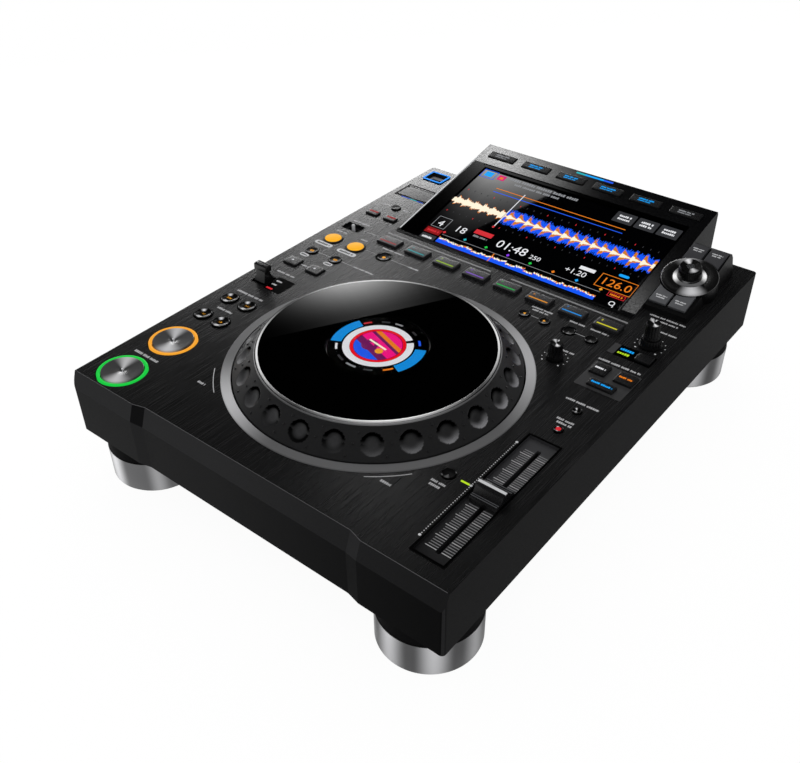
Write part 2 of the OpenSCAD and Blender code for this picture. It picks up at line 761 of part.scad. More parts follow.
// Flush plates and shallow cups that sit in the top panel
module key_panels() {
    z0 = -panel_t;
    color("#19191b") {
        at(lever_window) block(lever_window[2], lever_window[3], 1, z0, 0.15);
        at(mode_window) difference() {
            block(mode_window[2], mode_window[3], 1, z0, 0.15);
            translate([mode_key[0] - mode_window[0], 0]) block(12.7, 10.7, 1, -5, 2);
        }
    }
    color("#3a3c40") at(sync_plate) difference() {
        block(sync_plate[2], sync_plate[3], 1, z0, 0.15);
        for (k = [white_key, orange_key, blue_key])
            translate([k[0] - sync_plate[0], k[1] - sync_plate[1]])
                block(k[2] + 2 * key_gap, k[3] + 2 * key_gap, 1, -5, 2);
    }
    color("#0d0d0e") {
        at(lever_pos) difference() {
            union() {
                block(16, 16, 2, -4, 0);
                for (x = [-7.4, 7.4]) span([x - 1.1, -3, -7.4], [x + 1.1, 3, -4]);
            }
            block(14.6, 14.6, 1.4, -2.5, 1);
            span([-6, -6, -5], [6, 6, 1]);
            translate([-10, 0, -5]) rotate([0, 90, 0]) cylinder(r = 1.5 + fit, h = 20);
        }
        at(mode_pos) difference() {
            union() {
                block(20, 12.5, 2, -4, 0);
                for (y = [-4, 4]) span([-3, y - 1, -8.2], [3, y + 1, -4]);
            }
            block(18.6, 11.1, 1.4, -2.5, 1);
            span([-5, -2, -5], [5, 2, 1]);
            rotate([90, 0, 0]) translate([0, -6, -10]) cylinder(r = 1.2 + fit, h = 20);
            span([-2.9, -3, -8.2], [2.9, 3, -3.5]);
        }
        for (p = [[reloop_pos, 7.6, 5.9], [delete_pos, 6.5, 5.2]]) at(p[0]) difference() {
            rod(p[1], z0, 0);
            rod(p[2], -5, 1);
            translate([0, 0, -1]) cylinder(r1 = p[2], r2 = p[1] - 0.4, h = 1.01);
        }
    }
}

module sync_keys() {
    color("#4b4d52") {
        key_at(mode_key, 1.6);
        for (k = [white_key, orange_key, blue_key]) key_at(k, 1.6);
    }
}

module tempo_keys() {
    color("#3a3b3e") {
        for (p = [range_pos, master_pos]) at(p) round_key(3.5, 1.2, 0.3);
        at(reset_pos) round_key(5, 0.8, 0.4);
    }
}

// Small circuit board under the keys, hung from the panel on stand-offs
module key_board(x0, y0, x1, y1) {
    panel() {
        span([x0, y0, -11.8], [x1, y1, -10.2]);
        for (x = [x0 + 2.5, x1 - 2.5], y = [y0 + 2.5, y1 - 2.5])
            translate([x, y, 0]) rod(1.8, -10.2, -panel_t);
    }
}

// Rotary control under a knob
module rotary_body(p, r, depth) {
    at(p) difference() {
        span([-8, -8, -10.2], [8, 8, -panel_t - 0.1]);
        rod(r + fit, -panel_t - depth, 0);
    }
}

module circuit_boards() {
    color("#2f5f3a") {
        key_board(-161, -206, -111, -122);
        key_board(-161, -118, -112, -58);
        key_board(-161, -24, -112, 60);
        key_board(-161, 84, -118, 132);
        key_board(-107, 36, 116, 86);
        key_board(119, -66, 160, 38);
        key_board(119, 54, 160, 104);
        key_board(101, -146, 121, -124);
        key_board(85, -1, 112, 24);
        panel() span([-55, 60, -40], [115, 200, -38.4]);
        panel() for (x = [-50, 110], y = [65, 195]) translate([x, y, 0]) rod(3, -49, -40);
        on_hood(0, 0) span([-106, 121, -9.2], [108, 141, -7.6]);
        for (i = [0, 4]) on_hood((menu_x[i] + menu_x[i + 1]) / 2, menu_s) rod(1.8, -7.6, -hood_roof_t);
        on_hood(0, 0) for (s = [24, 86])
            span([122, s, -7.4], [144.5, s + 12, -6]);
    }
    color("#4a4c50") {
        rotary_body(adjust_pos, shaft_r, 6);
        at(vinyl_pos) difference() {
            span([-8, -8, -10.2], [8, 8, -panel_t - 0.1]);
            rod(4.4 + fit, -6.4, 0);
            rod(shaft_r + fit, -8.6, 0);
        }
        on_hood(dial_x, dial_s) difference() {
            span([-7.5, -7.5, -11], [7.5, 7.5, -2.8]);
            rod(shaft_r + fit, -9.6, 0);
        }
        panel() for (p = [[-20, 110], [30, 120], [70, 90]])
            span([p[0], p[1], -38.4], [p[0] + 24, p[1] + 24, -35.5]);
        panel() for (i = [0:4]) translate([-35 + i * 14, 170, 0]) rod(5, -38.4, -26);
    }
}

module power_supply() {
    color("#5d6c46") panel() span([-118, 80, -42], [-62, 185, -40.4]);
    color("#8b8e92") panel() {
        for (x = [-114, -66], y = [84, 181]) translate([x, y, 0]) rod(3, -49, -42);
        span([-104, 96, -40.4], [-76, 126, -18]);
        span([-114, 134, -40.4], [-111, 176, -16]);
        for (y = [140, 160]) translate([-80, y, 0]) rod(8, -40.4, -20);
    }
}

// Phono socket: barrel, flange and centre hole, pointing out along +Z of its own frame
module phono_socket() {
    difference() {
        union() {
            rod(4.5, -13, 2);
            rod(4.1, 2, 9);
            translate([0, 0, -13]) linear_extrude(10) square([11, 12], center = true);
        }
        rod(1.65, -6, 10);
    }
}

module rear_frame(x) {
    panel() translate([x, case_rear, socket_z]) rotate([-90, 0, 0]) children();
}

module audio_jacks() {
    color("#c7b78a") for (x = jack_x) rear_frame(x) phono_socket();
}

module rear_sockets() {
    color("#1a1a1a") rear_frame(inlet_x) difference() {
        union() {
            block(27.8, 19.8, 2, -24, 1);
            block(34, 22, 3, -0.5, 1.5);
        }
        block(24.5, 16.5, 3, -19, 3);
    }
    color("#c9ccd0") rear_frame(inlet_x) for (p = [[-7, -2], [0, 2], [7, -2]])
        translate([p[0] - 1, p[1] - 2, -20]) cube([2, 4, 14]);
    color("#b6babd") rear_frame(network_x) difference() {
        span([-7.4, -6.4, -18], [7.4, 6.4, 0.5]);
        span([-5.9, -4, -12], [5.9, 4, 2]);
    }
    color("#b6babd") rear_frame(usb_b_x) {
        difference() {
            span([-5.6, -5.3, -14], [5.6, 5.3, 0.5]);
            span([-4.25, -3.95, -12], [4.25, 3.95, 2]);
        }
        span([-2.8, -1.6, -12.5], [2.8, 1.6, -4.5]);
    }
}

module case_screws() {
    color("#8a8d91") {
        for (p = screw_pos) at(p) {
            rod(3, -case_h - 1.6, -case_h);
            rod(1.3, -case_h, -34);
        }
        for (p = foot_pos) at(p) {
            rod(3.6, -case_h + 1.5, -case_h + 4);
            rod(1.9, -case_h - 6, -case_h + 1.5);
        }
    }
}

upper_case();
bottom_plate();
top_panel();
rear_panel();
screen_hood();
screen_bezel();
screen_glass();
screen_module();
selector_housing();
selector_ring();
selector_shaft();
selector_knob();
selector_keys();
menu_keys();
jog_trim_ring();
jog_mount();
jog_wheel();
jog_chrome_ring();
jog_disc();
jog_display();
slider_panel();
tempo_fader();
tempo_slider();
foot_sleeves();
foot_cores();
play_light_ring();
cue_light_ring();
play_button();
cue_button();
track_search_keys();
search_keys();
direction_lever();
beat_jump_keys();
beat_loop_keys();
loop_keys();
mode_switch();
source_keys();
sd_slot();
sd_door();
usb_port();
hot_cue(1);  // hot_cue_1
hot_cue(2);  // hot_cue_2
hot_cue(3);  // hot_cue_3
hot_cue(4);  // hot_cue_4
hot_cue(5);  // hot_cue_5
hot_cue(6);  // hot_cue_6
hot_cue(7);  // hot_cue_7
hot_cue(8);  // hot_cue_8
memory_keys();
jog_adjust_knob();
vinyl_touch_knob();
vinyl_release_knob();
key_panels();
sync_keys();
tempo_keys();
circuit_boards();
power_supply();
audio_jacks();
rear_sockets();
case_screws();
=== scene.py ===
import math
import random

import bmesh
import bpy
from mathutils import Matrix, Vector


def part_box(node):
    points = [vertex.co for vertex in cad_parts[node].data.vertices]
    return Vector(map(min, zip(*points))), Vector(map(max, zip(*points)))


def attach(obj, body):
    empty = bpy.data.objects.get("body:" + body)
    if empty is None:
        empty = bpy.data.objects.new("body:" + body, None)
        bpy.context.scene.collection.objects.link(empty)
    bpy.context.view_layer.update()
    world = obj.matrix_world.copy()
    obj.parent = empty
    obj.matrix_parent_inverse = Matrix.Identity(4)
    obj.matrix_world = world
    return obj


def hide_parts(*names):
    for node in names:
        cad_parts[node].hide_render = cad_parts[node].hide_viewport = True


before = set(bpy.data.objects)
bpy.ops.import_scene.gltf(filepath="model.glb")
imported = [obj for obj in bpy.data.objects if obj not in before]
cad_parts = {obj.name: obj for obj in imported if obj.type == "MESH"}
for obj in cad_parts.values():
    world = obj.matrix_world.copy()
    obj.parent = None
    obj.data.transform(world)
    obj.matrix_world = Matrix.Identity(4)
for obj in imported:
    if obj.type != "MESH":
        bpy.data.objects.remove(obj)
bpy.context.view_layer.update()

# ---------------------------------------------------------------- layout, in millimetres
MM = 0.001
PANEL_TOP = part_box("top_panel")[1].z
PANEL_SHIFT = -10.5 * MM
HOOD_FRONT = 92
HOOD_TILT = math.radians(12)
HOOD_LEFT = -113.5
HOOD_RIGHT = 116.4
PANEL = Matrix.Translation((0, PANEL_SHIFT, PANEL_TOP)) @ Matrix.Scale(MM, 4)
HOOD = PANEL @ Matrix.Translation((0, HOOD_FRONT, 0)) @ Matrix.Rotation(HOOD_TILT, 4, "X")


def spot(node):
    """Centre of a CAD node in plan, in the panel's millimetres."""
    low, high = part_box(node)
    middle = PANEL.inverted() @ ((low + high) / 2)
    return middle.x, middle.y


JOG = spot("jog_disc")
PLAY = spot("play_button")
CUE = spot("cue_button")
TRACK = ((-147.5, -77.5), (-128.1, -77.5))
SEARCH = ((-147.5, -105.5), (-128.1, -105.5))
LEVER = (-147, -40)
LEVER_WINDOW = (-130, -39.75, 17.5, 19.5)
JUMP = ((-147.4, -5), (-122.9, -5))
SMALL_LOOP = ((-147.3, 18), (-121, 18))
RELOOP = (-92, 47)
LOOP = ((-147.2, 45), (-121.8, 45))
MODE = (-147, 71.5)
SOURCE = ((-150.1, 102.6), (-130, 102.6))
STOP = (-139.6, 122.8)
SD = (-140, 157.5)
USB = (-147.9, 196.2)
HOT_CUES = 8
HOT_CUE_X = 2.1
HOT_CUE_Y = 69.8
HOT_CUE_PITCH = 30.2
CALL = ((48.4, 46), (66.3, 46))
DELETE = (87.5, 46.5)
MEMORY = (106.4, 46)
ADJUST = spot("jog_adjust_knob")
VINYL = spot("vinyl_touch_knob")
RANGE = (140.5, -33)
MASTER = (140.5, -57)
RESET = (109, -135)
SLIDER = (141, -135)
TRAY = (140, -135, 25, 127.5)
DIAL = (133.3, 60.2)
DIAL_KEYS_X = (124.6, 140.6)
DIAL_KEYS_S = (34, 89)
KNOB_TOP_Z = 12.4
MENU_X = [-90 + 36.9 * i for i in range(6)]
MENU_S = 132.5
MODE_KEY = (149, 47.5, 12, 10)
WHITE_KEY = (130, 17.5, 12, 13)
ORANGE_KEY = (150, 17.5, 14, 13)
BLUE_KEY = (140, 1.2, 20, 8.4)
MODE_WINDOW = (139.1, 47.5, 34.2, 14)
SYNC_PLATE = (140.1, 10, 36.2, 32.5)
FRONT_EDGE = -211.1
STEP_EDGE = -208.2
STEP_X = (102, 92)
CASE_SIDE = 164
DOOR_LIGHT_Y = 145
FOOT_X = 129.6
FOOT_Y = (-180.9, 178.5)
GLASS = -1.5
KEY_FOOT = -3.2
INK = 0.06


# ---------------------------------------------------------------- nodes and materials
def add_node(tree, kind, inputs=None, **settings):
    """New node: a socket given for an input is linked to it, any other value is set."""
    node = tree.nodes.new("ShaderNode" + kind)
    for setting, value in settings.items():
        setattr(node, setting, value)
    for key, value in (inputs or {}).items():
        feed(tree, node.inputs[key], value)
    return node


def feed(tree, socket, value):
    """Links an input to a socket, or gives it a value."""
    if isinstance(value, bpy.types.NodeSocket):
        tree.links.new(value, socket)
    else:
        socket.default_value = value


def combine(tree, operation, first, second):
    """Result of a sum on two numbers or sockets."""
    return add_node(tree, "Math", {0: first, 1: second}, operation=operation).outputs[0]


def blend(tree, share, first, second):
    """Mix of two shaders."""
    return add_node(tree, "MixShader", {"Fac": share, 1: first, 2: second}).outputs[0]


def ranged(tree, value, source, target):
    """Value carried over from one range to another, and held at its ends."""
    inputs = {"Value": value, "From Min": source[0], "From Max": source[1],
              "To Min": target[0], "To Max": target[1]}
    return add_node(tree, "MapRange", inputs).outputs["Result"]


def along(tree, axis, space="Object"):
    """Place along one axis."""
    place = add_node(tree, "TexCoord").outputs[space]
    return add_node(tree, "SeparateXYZ", {0: place}).outputs[axis]


def wiring(material):
    """Node tree of a material, and the inputs of its shader."""
    tree = material.node_tree
    return tree, tree.nodes["Principled BSDF"].inputs


def rgb(r, g, b):
    """Linear colour from screen values."""
    def linear(value):
        level = value / 255
        return level / 12.92 if level <= 0.04045 else ((level + 0.055) / 1.055) ** 2.4
    return linear(r), linear(g), linear(b)


def surface(name, color, rough, metal=0.0, specular=0.5):
    """Plain material of a linear colour."""
    material = bpy.data.materials.new(name)
    material.use_nodes = True
    inputs = wiring(material)[1]
    inputs["Base Color"].default_value = (*color, 1)
    inputs["Roughness"].default_value = rough
    inputs["Metallic"].default_value = metal
    inputs["Specular IOR Level"].default_value = specular
    return material


def grain(material, scale, stretch=(1, 1, 1), tone=0.2, vary=0.08, bump=0.0):
    """Noise that varies tone and roughness by a share and an amount, and adds a fine relief."""
    tree, inputs = wiring(material)
    place = add_node(tree, "TexCoord").outputs["Object"]
    mapping = add_node(tree, "Mapping", {"Vector": place, "Scale": stretch}).outputs["Vector"]
    texture = {"Vector": mapping, "Scale": scale, "Detail": 3.0}
    noise = add_node(tree, "TexNoise", texture).outputs["Fac"]
    span = (0.3, 0.7)
    ramp = add_node(tree, "ValToRGB", {"Fac": noise})
    base = inputs["Base Color"].default_value[:3]
    for mark, position, share in zip(ramp.color_ramp.elements, span, (1 - tone, 1 + tone)):
        mark.position = position
        mark.color = (*[min(c * share, 1) for c in base], 1)
    feed(tree, inputs["Base Color"], ramp.outputs["Color"])
    middle = inputs["Roughness"].default_value
    rough = ranged(tree, noise, span, (max(middle - vary, 0.01), middle + vary))
    feed(tree, inputs["Roughness"], rough)
    if bump > 0:
        relief = {"Strength": 0.6, "Distance": bump * MM, "Height": noise}
        feed(tree, inputs["Normal"], add_node(tree, "Bump", relief).outputs["Normal"])
    return material


def azimuth(tree, centre=None):
    """Turn about Z as 0 to 1, 0.5 along +X: of a place round a centre, or of the normal."""
    place = add_node(tree, "TexCoord").outputs
    way = place["Normal"]
    if centre:
        ends = {0: place["Object"], 1: PANEL @ Vector((*centre, 0))}
        way = add_node(tree, "VectorMath", ends, operation="SUBTRACT").outputs[0]
    split = add_node(tree, "SeparateXYZ", {0: way}).outputs
    turn = combine(tree, "ARCTAN2", split["Y"], split["X"])
    return ranged(tree, turn, (-math.pi, math.pi), (0, 1))


def paint_turned_highlights(material, base, highlights, centre=None, gain=1.3):
    """Painted light on a turned surface: an even level with broad painted highlights, given by
    degrees, reach and level of each.
    """
    tree, inputs = wiring(material)
    levels = {}
    for angle, reach, level in highlights:
        levels[(angle - reach) % 360] = base
        levels[(angle + reach) % 360] = base
    for angle, reach, level in highlights:
        levels[angle % 360] = level
    stops = sorted(((angle + 180) % 360 / 360, level) for angle, level in levels.items())
    first, last = stops[0], stops[-1]
    reach = (1 - last[0]) / (1 - last[0] + first[0])
    seam = last[1] + (first[1] - last[1]) * reach
    stops = [(0, seam)] + stops + [(1, seam)]
    ramp = add_node(tree, "ValToRGB", {"Fac": azimuth(tree, centre)})
    ramp.color_ramp.interpolation = "EASE"
    for place, level in stops[1:-1]:
        ramp.color_ramp.elements.new(place)
    for mark, (place, level) in zip(ramp.color_ramp.elements, stops):
        mark.color = (*[min(c * gain, 1) for c in rgb(level, level, level * 1.01)], 1)
    feed(tree, inputs["Base Color"], ramp.outputs["Color"])
    # a glowing material glows with the painted highlights too
    if inputs["Emission Strength"].default_value > 0:
        feed(tree, inputs["Emission Color"], ramp.outputs["Color"])
    return material


def falloff(material, axis, start, end, low, high):
    """Share of colour and gloss that changes along an axis, as the soft light does."""
    tree, inputs = wiring(material)
    share = ranged(tree, along(tree, axis), (start, end), (low, high))
    base = inputs["Base Color"]
    factors = {0: base.links[0].from_socket, "Scale": share}
    feed(tree, base, add_node(tree, "VectorMath", factors, operation="SCALE").outputs[0])
    gloss = inputs["Specular IOR Level"]
    feed(tree, gloss, combine(tree, "MULTIPLY", share, gloss.default_value))


def shaded_by_painted_tone(material):
    """Multiplies a material's colour and gloss by the painted light and shade that is stored on the
    mesh as its tone.
    """
    tree, inputs = wiring(material)
    painted = add_node(tree, "Attribute", attribute_name="tone").outputs
    base = inputs["Base Color"]
    factors = {0: base.links[0].from_socket, 1: painted["Color"]}
    feed(tree, base, add_node(tree, "VectorMath", factors, operation="MULTIPLY").outputs[0])
    gloss = inputs["Specular IOR Level"]
    feed(tree, gloss, ranged(tree, painted["Fac"], (0, 1), (0, gloss.default_value)))
    return material


def finish(name, color, rough, scale, tone=0.2, specular=0.5, metal=0.0, **extra):
    """Grained material: screen colour, roughness, fineness and tone of the grain, and gloss."""
    return grain(surface(name, rgb(*color), rough, metal, specular), scale, tone=tone, **extra)


def moulded(name, level, specular=0.035):
    """Plastic of the case, in its own colour or at a painted brightness for one kind of face."""
    return finish(name, (level, level, level + 1), 0.5, 1500, 0.12, specular, vary=0.06, bump=0.01)


def turned_with_painted_highlights(name, rough, base, highlights, centre=None, gain=1.3, metal=0.0, specular=0.5):
    """Turned material with painted highlights: roughness, its even level, and the highlights painted
    into its colour.
    """
    return paint_turned_highlights(surface(name, (0, 0, 0), rough, metal, specular), base, highlights, centre, gain)


def lit(name, color, strength=1.0, rough=0.3):
    """Glowing material of a screen colour."""
    glow = rgb(*color)
    material = surface(name, [c * 0.08 for c in glow], rough, specular=0.05)
    inputs = wiring(material)[1]
    inputs["Emission Color"].default_value = (*glow, 1)
    inputs["Emission Strength"].default_value = strength
    return grain(material, 900, tone=0.1, vary=0.03)


def clear(name):
    """Clear plastic."""
    material = surface(name, (1, 1, 1), 0.0)
    inputs = wiring(material)[1]
    inputs["Transmission Weight"].default_value = 1.0
    inputs["IOR"].default_value = 1.45
    return material


STREAKS = (1.0, 0.018, 1.0)
PANEL_BLACK = grain(surface("panel_black", (0.0065, 0.0065, 0.0068), 0.25), 1500, STREAKS,
                    tone=0.5, vary=0.05, bump=0.03)
# painted shade: the panel's colour and gloss darken towards the front
falloff(PANEL_BLACK, "Y", -0.15, -0.08, 0.5, 1.08)
CASE_BLACK = moulded("case_plastic", 21)
# painted light and shade: lit and shaded copies of the case plastic for the faces of the front, two
# of them fading darker towards the right
CASE_BEVEL_PAINTED_LIGHT = moulded("case_bevel", 48)
falloff(CASE_BEVEL_PAINTED_LIGHT, "X", -0.02, 0.16, 1.05, 0.52)
CASE_BEVEL_LIT = moulded("case_bevel_lit", 44)
CASE_FRONT_SHADED = moulded("case_front_shaded", 21)
falloff(CASE_FRONT_SHADED, "X", -0.02, 0.16, 0.95, 0.42)
CASE_TURN_LIT = moulded("case_turn_lit", 36)
CASE_NOTCH_SHADED = moulded("case_notch_shaded", 20, 0.02)
HOOD_BLACK = finish("hood_plastic", (8, 8, 9), 0.12, 700, 0.2, 0.68, vary=0.03)
# painted light: a lighter copy of the hood plastic for its right side wall
HOOD_SIDE_LIT = finish("hood_side", (44, 44, 45), 0.45, 900, 0.1, 0.08)
BLOCK_BLACK = finish("block_black", (9, 9, 10), 0.35, 900, 0.15, 0.15)
BEZEL_BLACK = finish("bezel_black", (1, 1, 1), 0.08, 500, 0.2, 0.03, vary=0.02)
SCREEN_GLASS = finish("screen_glass", (2, 2, 3), 0.02, 400, 0.2, vary=0.01)
DISC_GLOSS = finish("disc_gloss", (1, 1, 1), 0.01, 300, 0.2, vary=0.005)
CLEAR = clear("clear_window")
SMOKE = finish("panel_smoke", (16, 16, 17), 0.15, 900, 0.15, 0.3)
DOOR_SMOKE = finish("door_smoke", (16, 16, 17), 0.18, 900, 0.04, 0.28, vary=0.01)
# black of the windows, also laid as painted shade in gaps and grooves
BLACK_WINDOW_AND_GAP_SHADE = finish("black_window_and_gap_shade", (2, 2, 2), 0.2, 900, 0.1, 0.02)
PORT_DARK = finish("port_dark", (18, 18, 20), 0.5, 1200, 0.2, 0.3)
RUBBER = finish("rubber_black", (8, 8, 9), 0.75, 1300, 0.2, 0.06, bump=0.02)
SYNC_GREY = finish("sync_grey", (50, 50, 51), 0.4, 1100, 0.15, 0.35, stretch=STREAKS)
TRAY_GREY = finish("tray_grey", (58, 58, 60), 0.5, 1100, 0.12, 0.2)
# painted shade: the tray darkens towards the front
falloff(TRAY_GREY, "Y", -0.21, -0.08, 0.3, 1.15)
# painted highlights along edges; the grey one is also the metal inside the USB port
EDGE_HIGHLIGHT_DIM = finish("edge_highlight_dim", (84, 84, 86), 0.5, 1500, 0.12, 0.3)
GREY_METAL_AND_EDGE_HIGHLIGHT = finish("grey_metal_and_edge_highlight", (150, 152, 156), 0.35, 1200, 0.1)
EDGE_HIGHLIGHT = finish("edge_highlight", (222, 223, 226), 0.35, 1200, 0.1)
# painted light and shade in the finger dimples, from the tone on the wheel's mesh
JOG_BLACK = shaded_by_painted_tone(finish("jog_black", (35, 35, 36), 0.42, 1500, 0.15, 0.35, bump=0.01))
KEY_GREY = finish("key_grey", (38, 38, 40), 0.3, 1400, 0.1, 0.45, bump=0.01)
KEY_BLACK = finish("key_black", (20, 20, 21), 0.3, 1400, 0.15, 0.45, bump=0.01)
# painted shade: a darker copy of the selector keys' grey, for the keys at the rear
KEY_SHADED = finish("key_shaded", (60, 60, 63), 0.5, 1400, 0.08, 0.2)
KEY_PANEL = finish("key_panel", (26, 26, 27), 0.27, 1400, 0.15)
# painted light: a lighter copy for the front selector keys, and painted highlights on the slider's
# ridges
KEY_LIT = finish("key_lit", (86, 87, 90), 0.5, 1400, 0.08, 0.3)
# black of the knobs, also used as painted shade on the outer wall of the selector ring
DARK_KNOB_AND_SHADE = finish("dark_knob_and_shade", (11, 11, 12), 0.3, 900, 0.15, 0.16)
# painted glints in the middle of the transport caps
PAINTED_GLINT = finish("glint", (235, 236, 240), 0.2, 900, 0.03)
WHITE_INK = finish("white_ink", (205, 206, 208), 0.5, 1500, 0.08, 0.2)
GREY_INK = finish("grey_ink", (182, 182, 184), 0.5, 1500, 0.12, 0.2)
DARK_INK = finish("dark_ink", (132, 132, 134), 0.5, 1500, 0.12, 0.2)
BLACK_INK = finish("black_ink", (12, 12, 12), 0.5, 1500, 0.12, 0.2)
BOARD = finish("board_green", (40, 90, 55), 0.45, 900)
STEEL_BLACK = finish("steel_black", (38, 39, 41), 0.5, 900, 0.15, bump=0.02)
STEEL = finish("steel", (140, 142, 145), 0.3, 800, 0.15, metal=1)
METAL_FRAME = finish("metal_frame", (150, 152, 155), 0.4, 700, 0.15, metal=1)
GOLD = finish("jack_gold", (205, 180, 120), 0.25, 900, 0.1, metal=1)

DIAL_PLAN = (DIAL[0], HOOD_FRONT + DIAL[1] * math.cos(HOOD_TILT))
DIAL_TOP = (DIAL[0], DIAL_PLAN[1] - KNOB_TOP_Z * math.sin(HOOD_TILT))
# the materials from here on have painted highlights: light and dark fields painted into their colour
# by angle, standing in for reflections
DIAL_METAL = turned_with_painted_highlights("dial_metal", 0.25, 10, ((120, 40, 140), (300, 35, 200)), DIAL_PLAN)
GRIP_METAL = turned_with_painted_highlights("grip_metal", 0.25, 15, ((150, 30, 150), (275, 25, 150)))
# painted reflection: the clear ring glows with the light crescents of its reflection
CLEAR_RING_PAINTED_REFLECTION = paint_turned_highlights(lit("light_ring", (205, 208, 212), 0.35, rough=0.15), 80, (
    (20, 40, 250), (115, 40, 40), (215, 40, 250)), DIAL_PLAN)
KNOB_LIGHTS = ((135, 35, 210), (315, 35, 180))
KNOB_TOP = turned_with_painted_highlights("knob_top", 0.2, 5, KNOB_LIGHTS, DIAL_TOP, gain=1.5)
KNOB_BLACK = turned_with_painted_highlights("knob_black", 0.2, 5, KNOB_LIGHTS, gain=1.5)
GLOSS_KEY = turned_with_painted_highlights("key_gloss", 0.15, 4, ((90, 40, 150), (310, 30, 190)), gain=1.5, specular=0.1)
PLAIN_KEY = turned_with_painted_highlights("key_plain", 0.25, 10, ((100, 45, 85),), specular=0.1)
RIM_KEY = turned_with_painted_highlights("key_rim", 0.3, 2, ((50, 15, 150), (225, 30, 40)), specular=0.06)
CAP_LIGHTS = ((125, 45, 175), (300, 55, 175))
PLAY_METAL = turned_with_painted_highlights("play_metal", 0.25, 50, CAP_LIGHTS, PLAY)
CUE_METAL = turned_with_painted_highlights("cue_metal", 0.25, 50, CAP_LIGHTS, CUE)
SILVER_PAINTED_SHEEN = turned_with_painted_highlights("silver_brushed", 0.35, 85, (
    (40, 45, 160), (105, 15, 50), (140, 20, 150), (240, 30, 175)), JOG)
QUARTERS = (45, 135, 225, 315)
JOG_CHROME = turned_with_painted_highlights("jog_chrome", 0.15, 60, [(angle, 45, 240) for angle in QUARTERS], JOG)
RIM_GREY = turned_with_painted_highlights("jog_rim_grey", 0.2, 70, [(angle, 45, 130) for angle in QUARTERS], JOG)
# painted reflections on the feet: a left and a right copy with bands of their own
FAR_FOOT_LIGHTS = tuple((48 * k + 72, 24, 185) for k in range(4))
FOOT_LEFT_REFLECTIONS = turned_with_painted_highlights("foot_metal_left_reflections", 0.3, 80, (
    (262, 20, 180), (320, 15, 130), (0, 20, 150)) + FAR_FOOT_LIGHTS, gain=1.8, metal=1)
FOOT_RIGHT_REFLECTIONS = turned_with_painted_highlights("foot_metal_right_reflections", 0.3, 80, (
    (262, 22, 190), (312, 22, 190), (0, 20, 160)) + FAR_FOOT_LIGHTS, gain=1.8, metal=1)

RING_GREEN = lit("ring_green", (26, 198, 66))
RING_AMBER = lit("ring_amber", (240, 162, 48))
KEY_AMBER = lit("key_amber", (250, 176, 28), 0.95)
AMBER = lit("lit_amber", (245, 165, 40), 0.9)
ORANGE_LED = lit("lit_orange", (240, 130, 30), 0.9)
CREAM_LED = lit("lit_cream", (250, 240, 214))
LIME_LED = lit("lit_lime", (190, 230, 40), 0.9)
CYAN_LED = lit("lit_cyan", (40, 190, 200), 0.8)
BLUE_LED = lit("lit_blue", (20, 160, 245))
PORT_BLUE = lit("lit_port_blue", (0, 140, 248))
ARC_BLUE = lit("lit_arc", (16, 138, 218))
DOOR_BLUE = lit("lit_door_blue", (0, 78, 205), 0.9)
DEEP_BLUE = lit("lit_deep_blue", (30, 90, 240), 0.95)
WAVE_BLUE = lit("lit_wave_blue", (14, 84, 240))
WAVE_GOLD = lit("lit_wave_gold", (214, 124, 30), 0.9)
VIOLET_LED = lit("lit_violet", (140, 60, 240), 0.9)
MAGENTA = lit("lit_magenta", (220, 30, 120), 0.9)
HOT_PINK = lit("lit_pink", (240, 20, 130))
PLUM = lit("lit_plum", (110, 24, 90))
RED_LED = lit("lit_red", (225, 45, 55), 0.8)
DEEP_RED = lit("lit_deep_red", (150, 12, 16), 0.8)
RING_RED = lit("lit_ring_red", (228, 12, 30))
WHITE_LED = lit("lit_white", (235, 236, 240), 0.9)
SOFT_LED = lit("lit_soft", (150, 152, 156), 0.8)
GREY_LED = lit("lit_grey", (56, 57, 60), 0.8)
CUE_COLORS = {
    "red": (150, 42, 48), "teal": (40, 140, 146), "lime": (140, 176, 44), "lilac": (116, 78, 178),
    "green": (36, 160, 70), "orange": (206, 132, 40), "blue": (34, 128, 206), "yellow": (196, 190, 44)
}
DIM_CUES = [lit("cue_" + label, color) for label, color in CUE_COLORS.items()]


# ---------------------------------------------------------------- building meshes
def in_scene(name, data):
    """New object with this data, in the scene."""
    holder = bpy.data.objects.new(name, data)
    bpy.context.scene.collection.objects.link(holder)
    return holder


def polar(at, r, angle):
    """Point at a radius and an angle in radians about a centre."""
    return at[0] + r * math.cos(angle), at[1] + r * math.sin(angle)


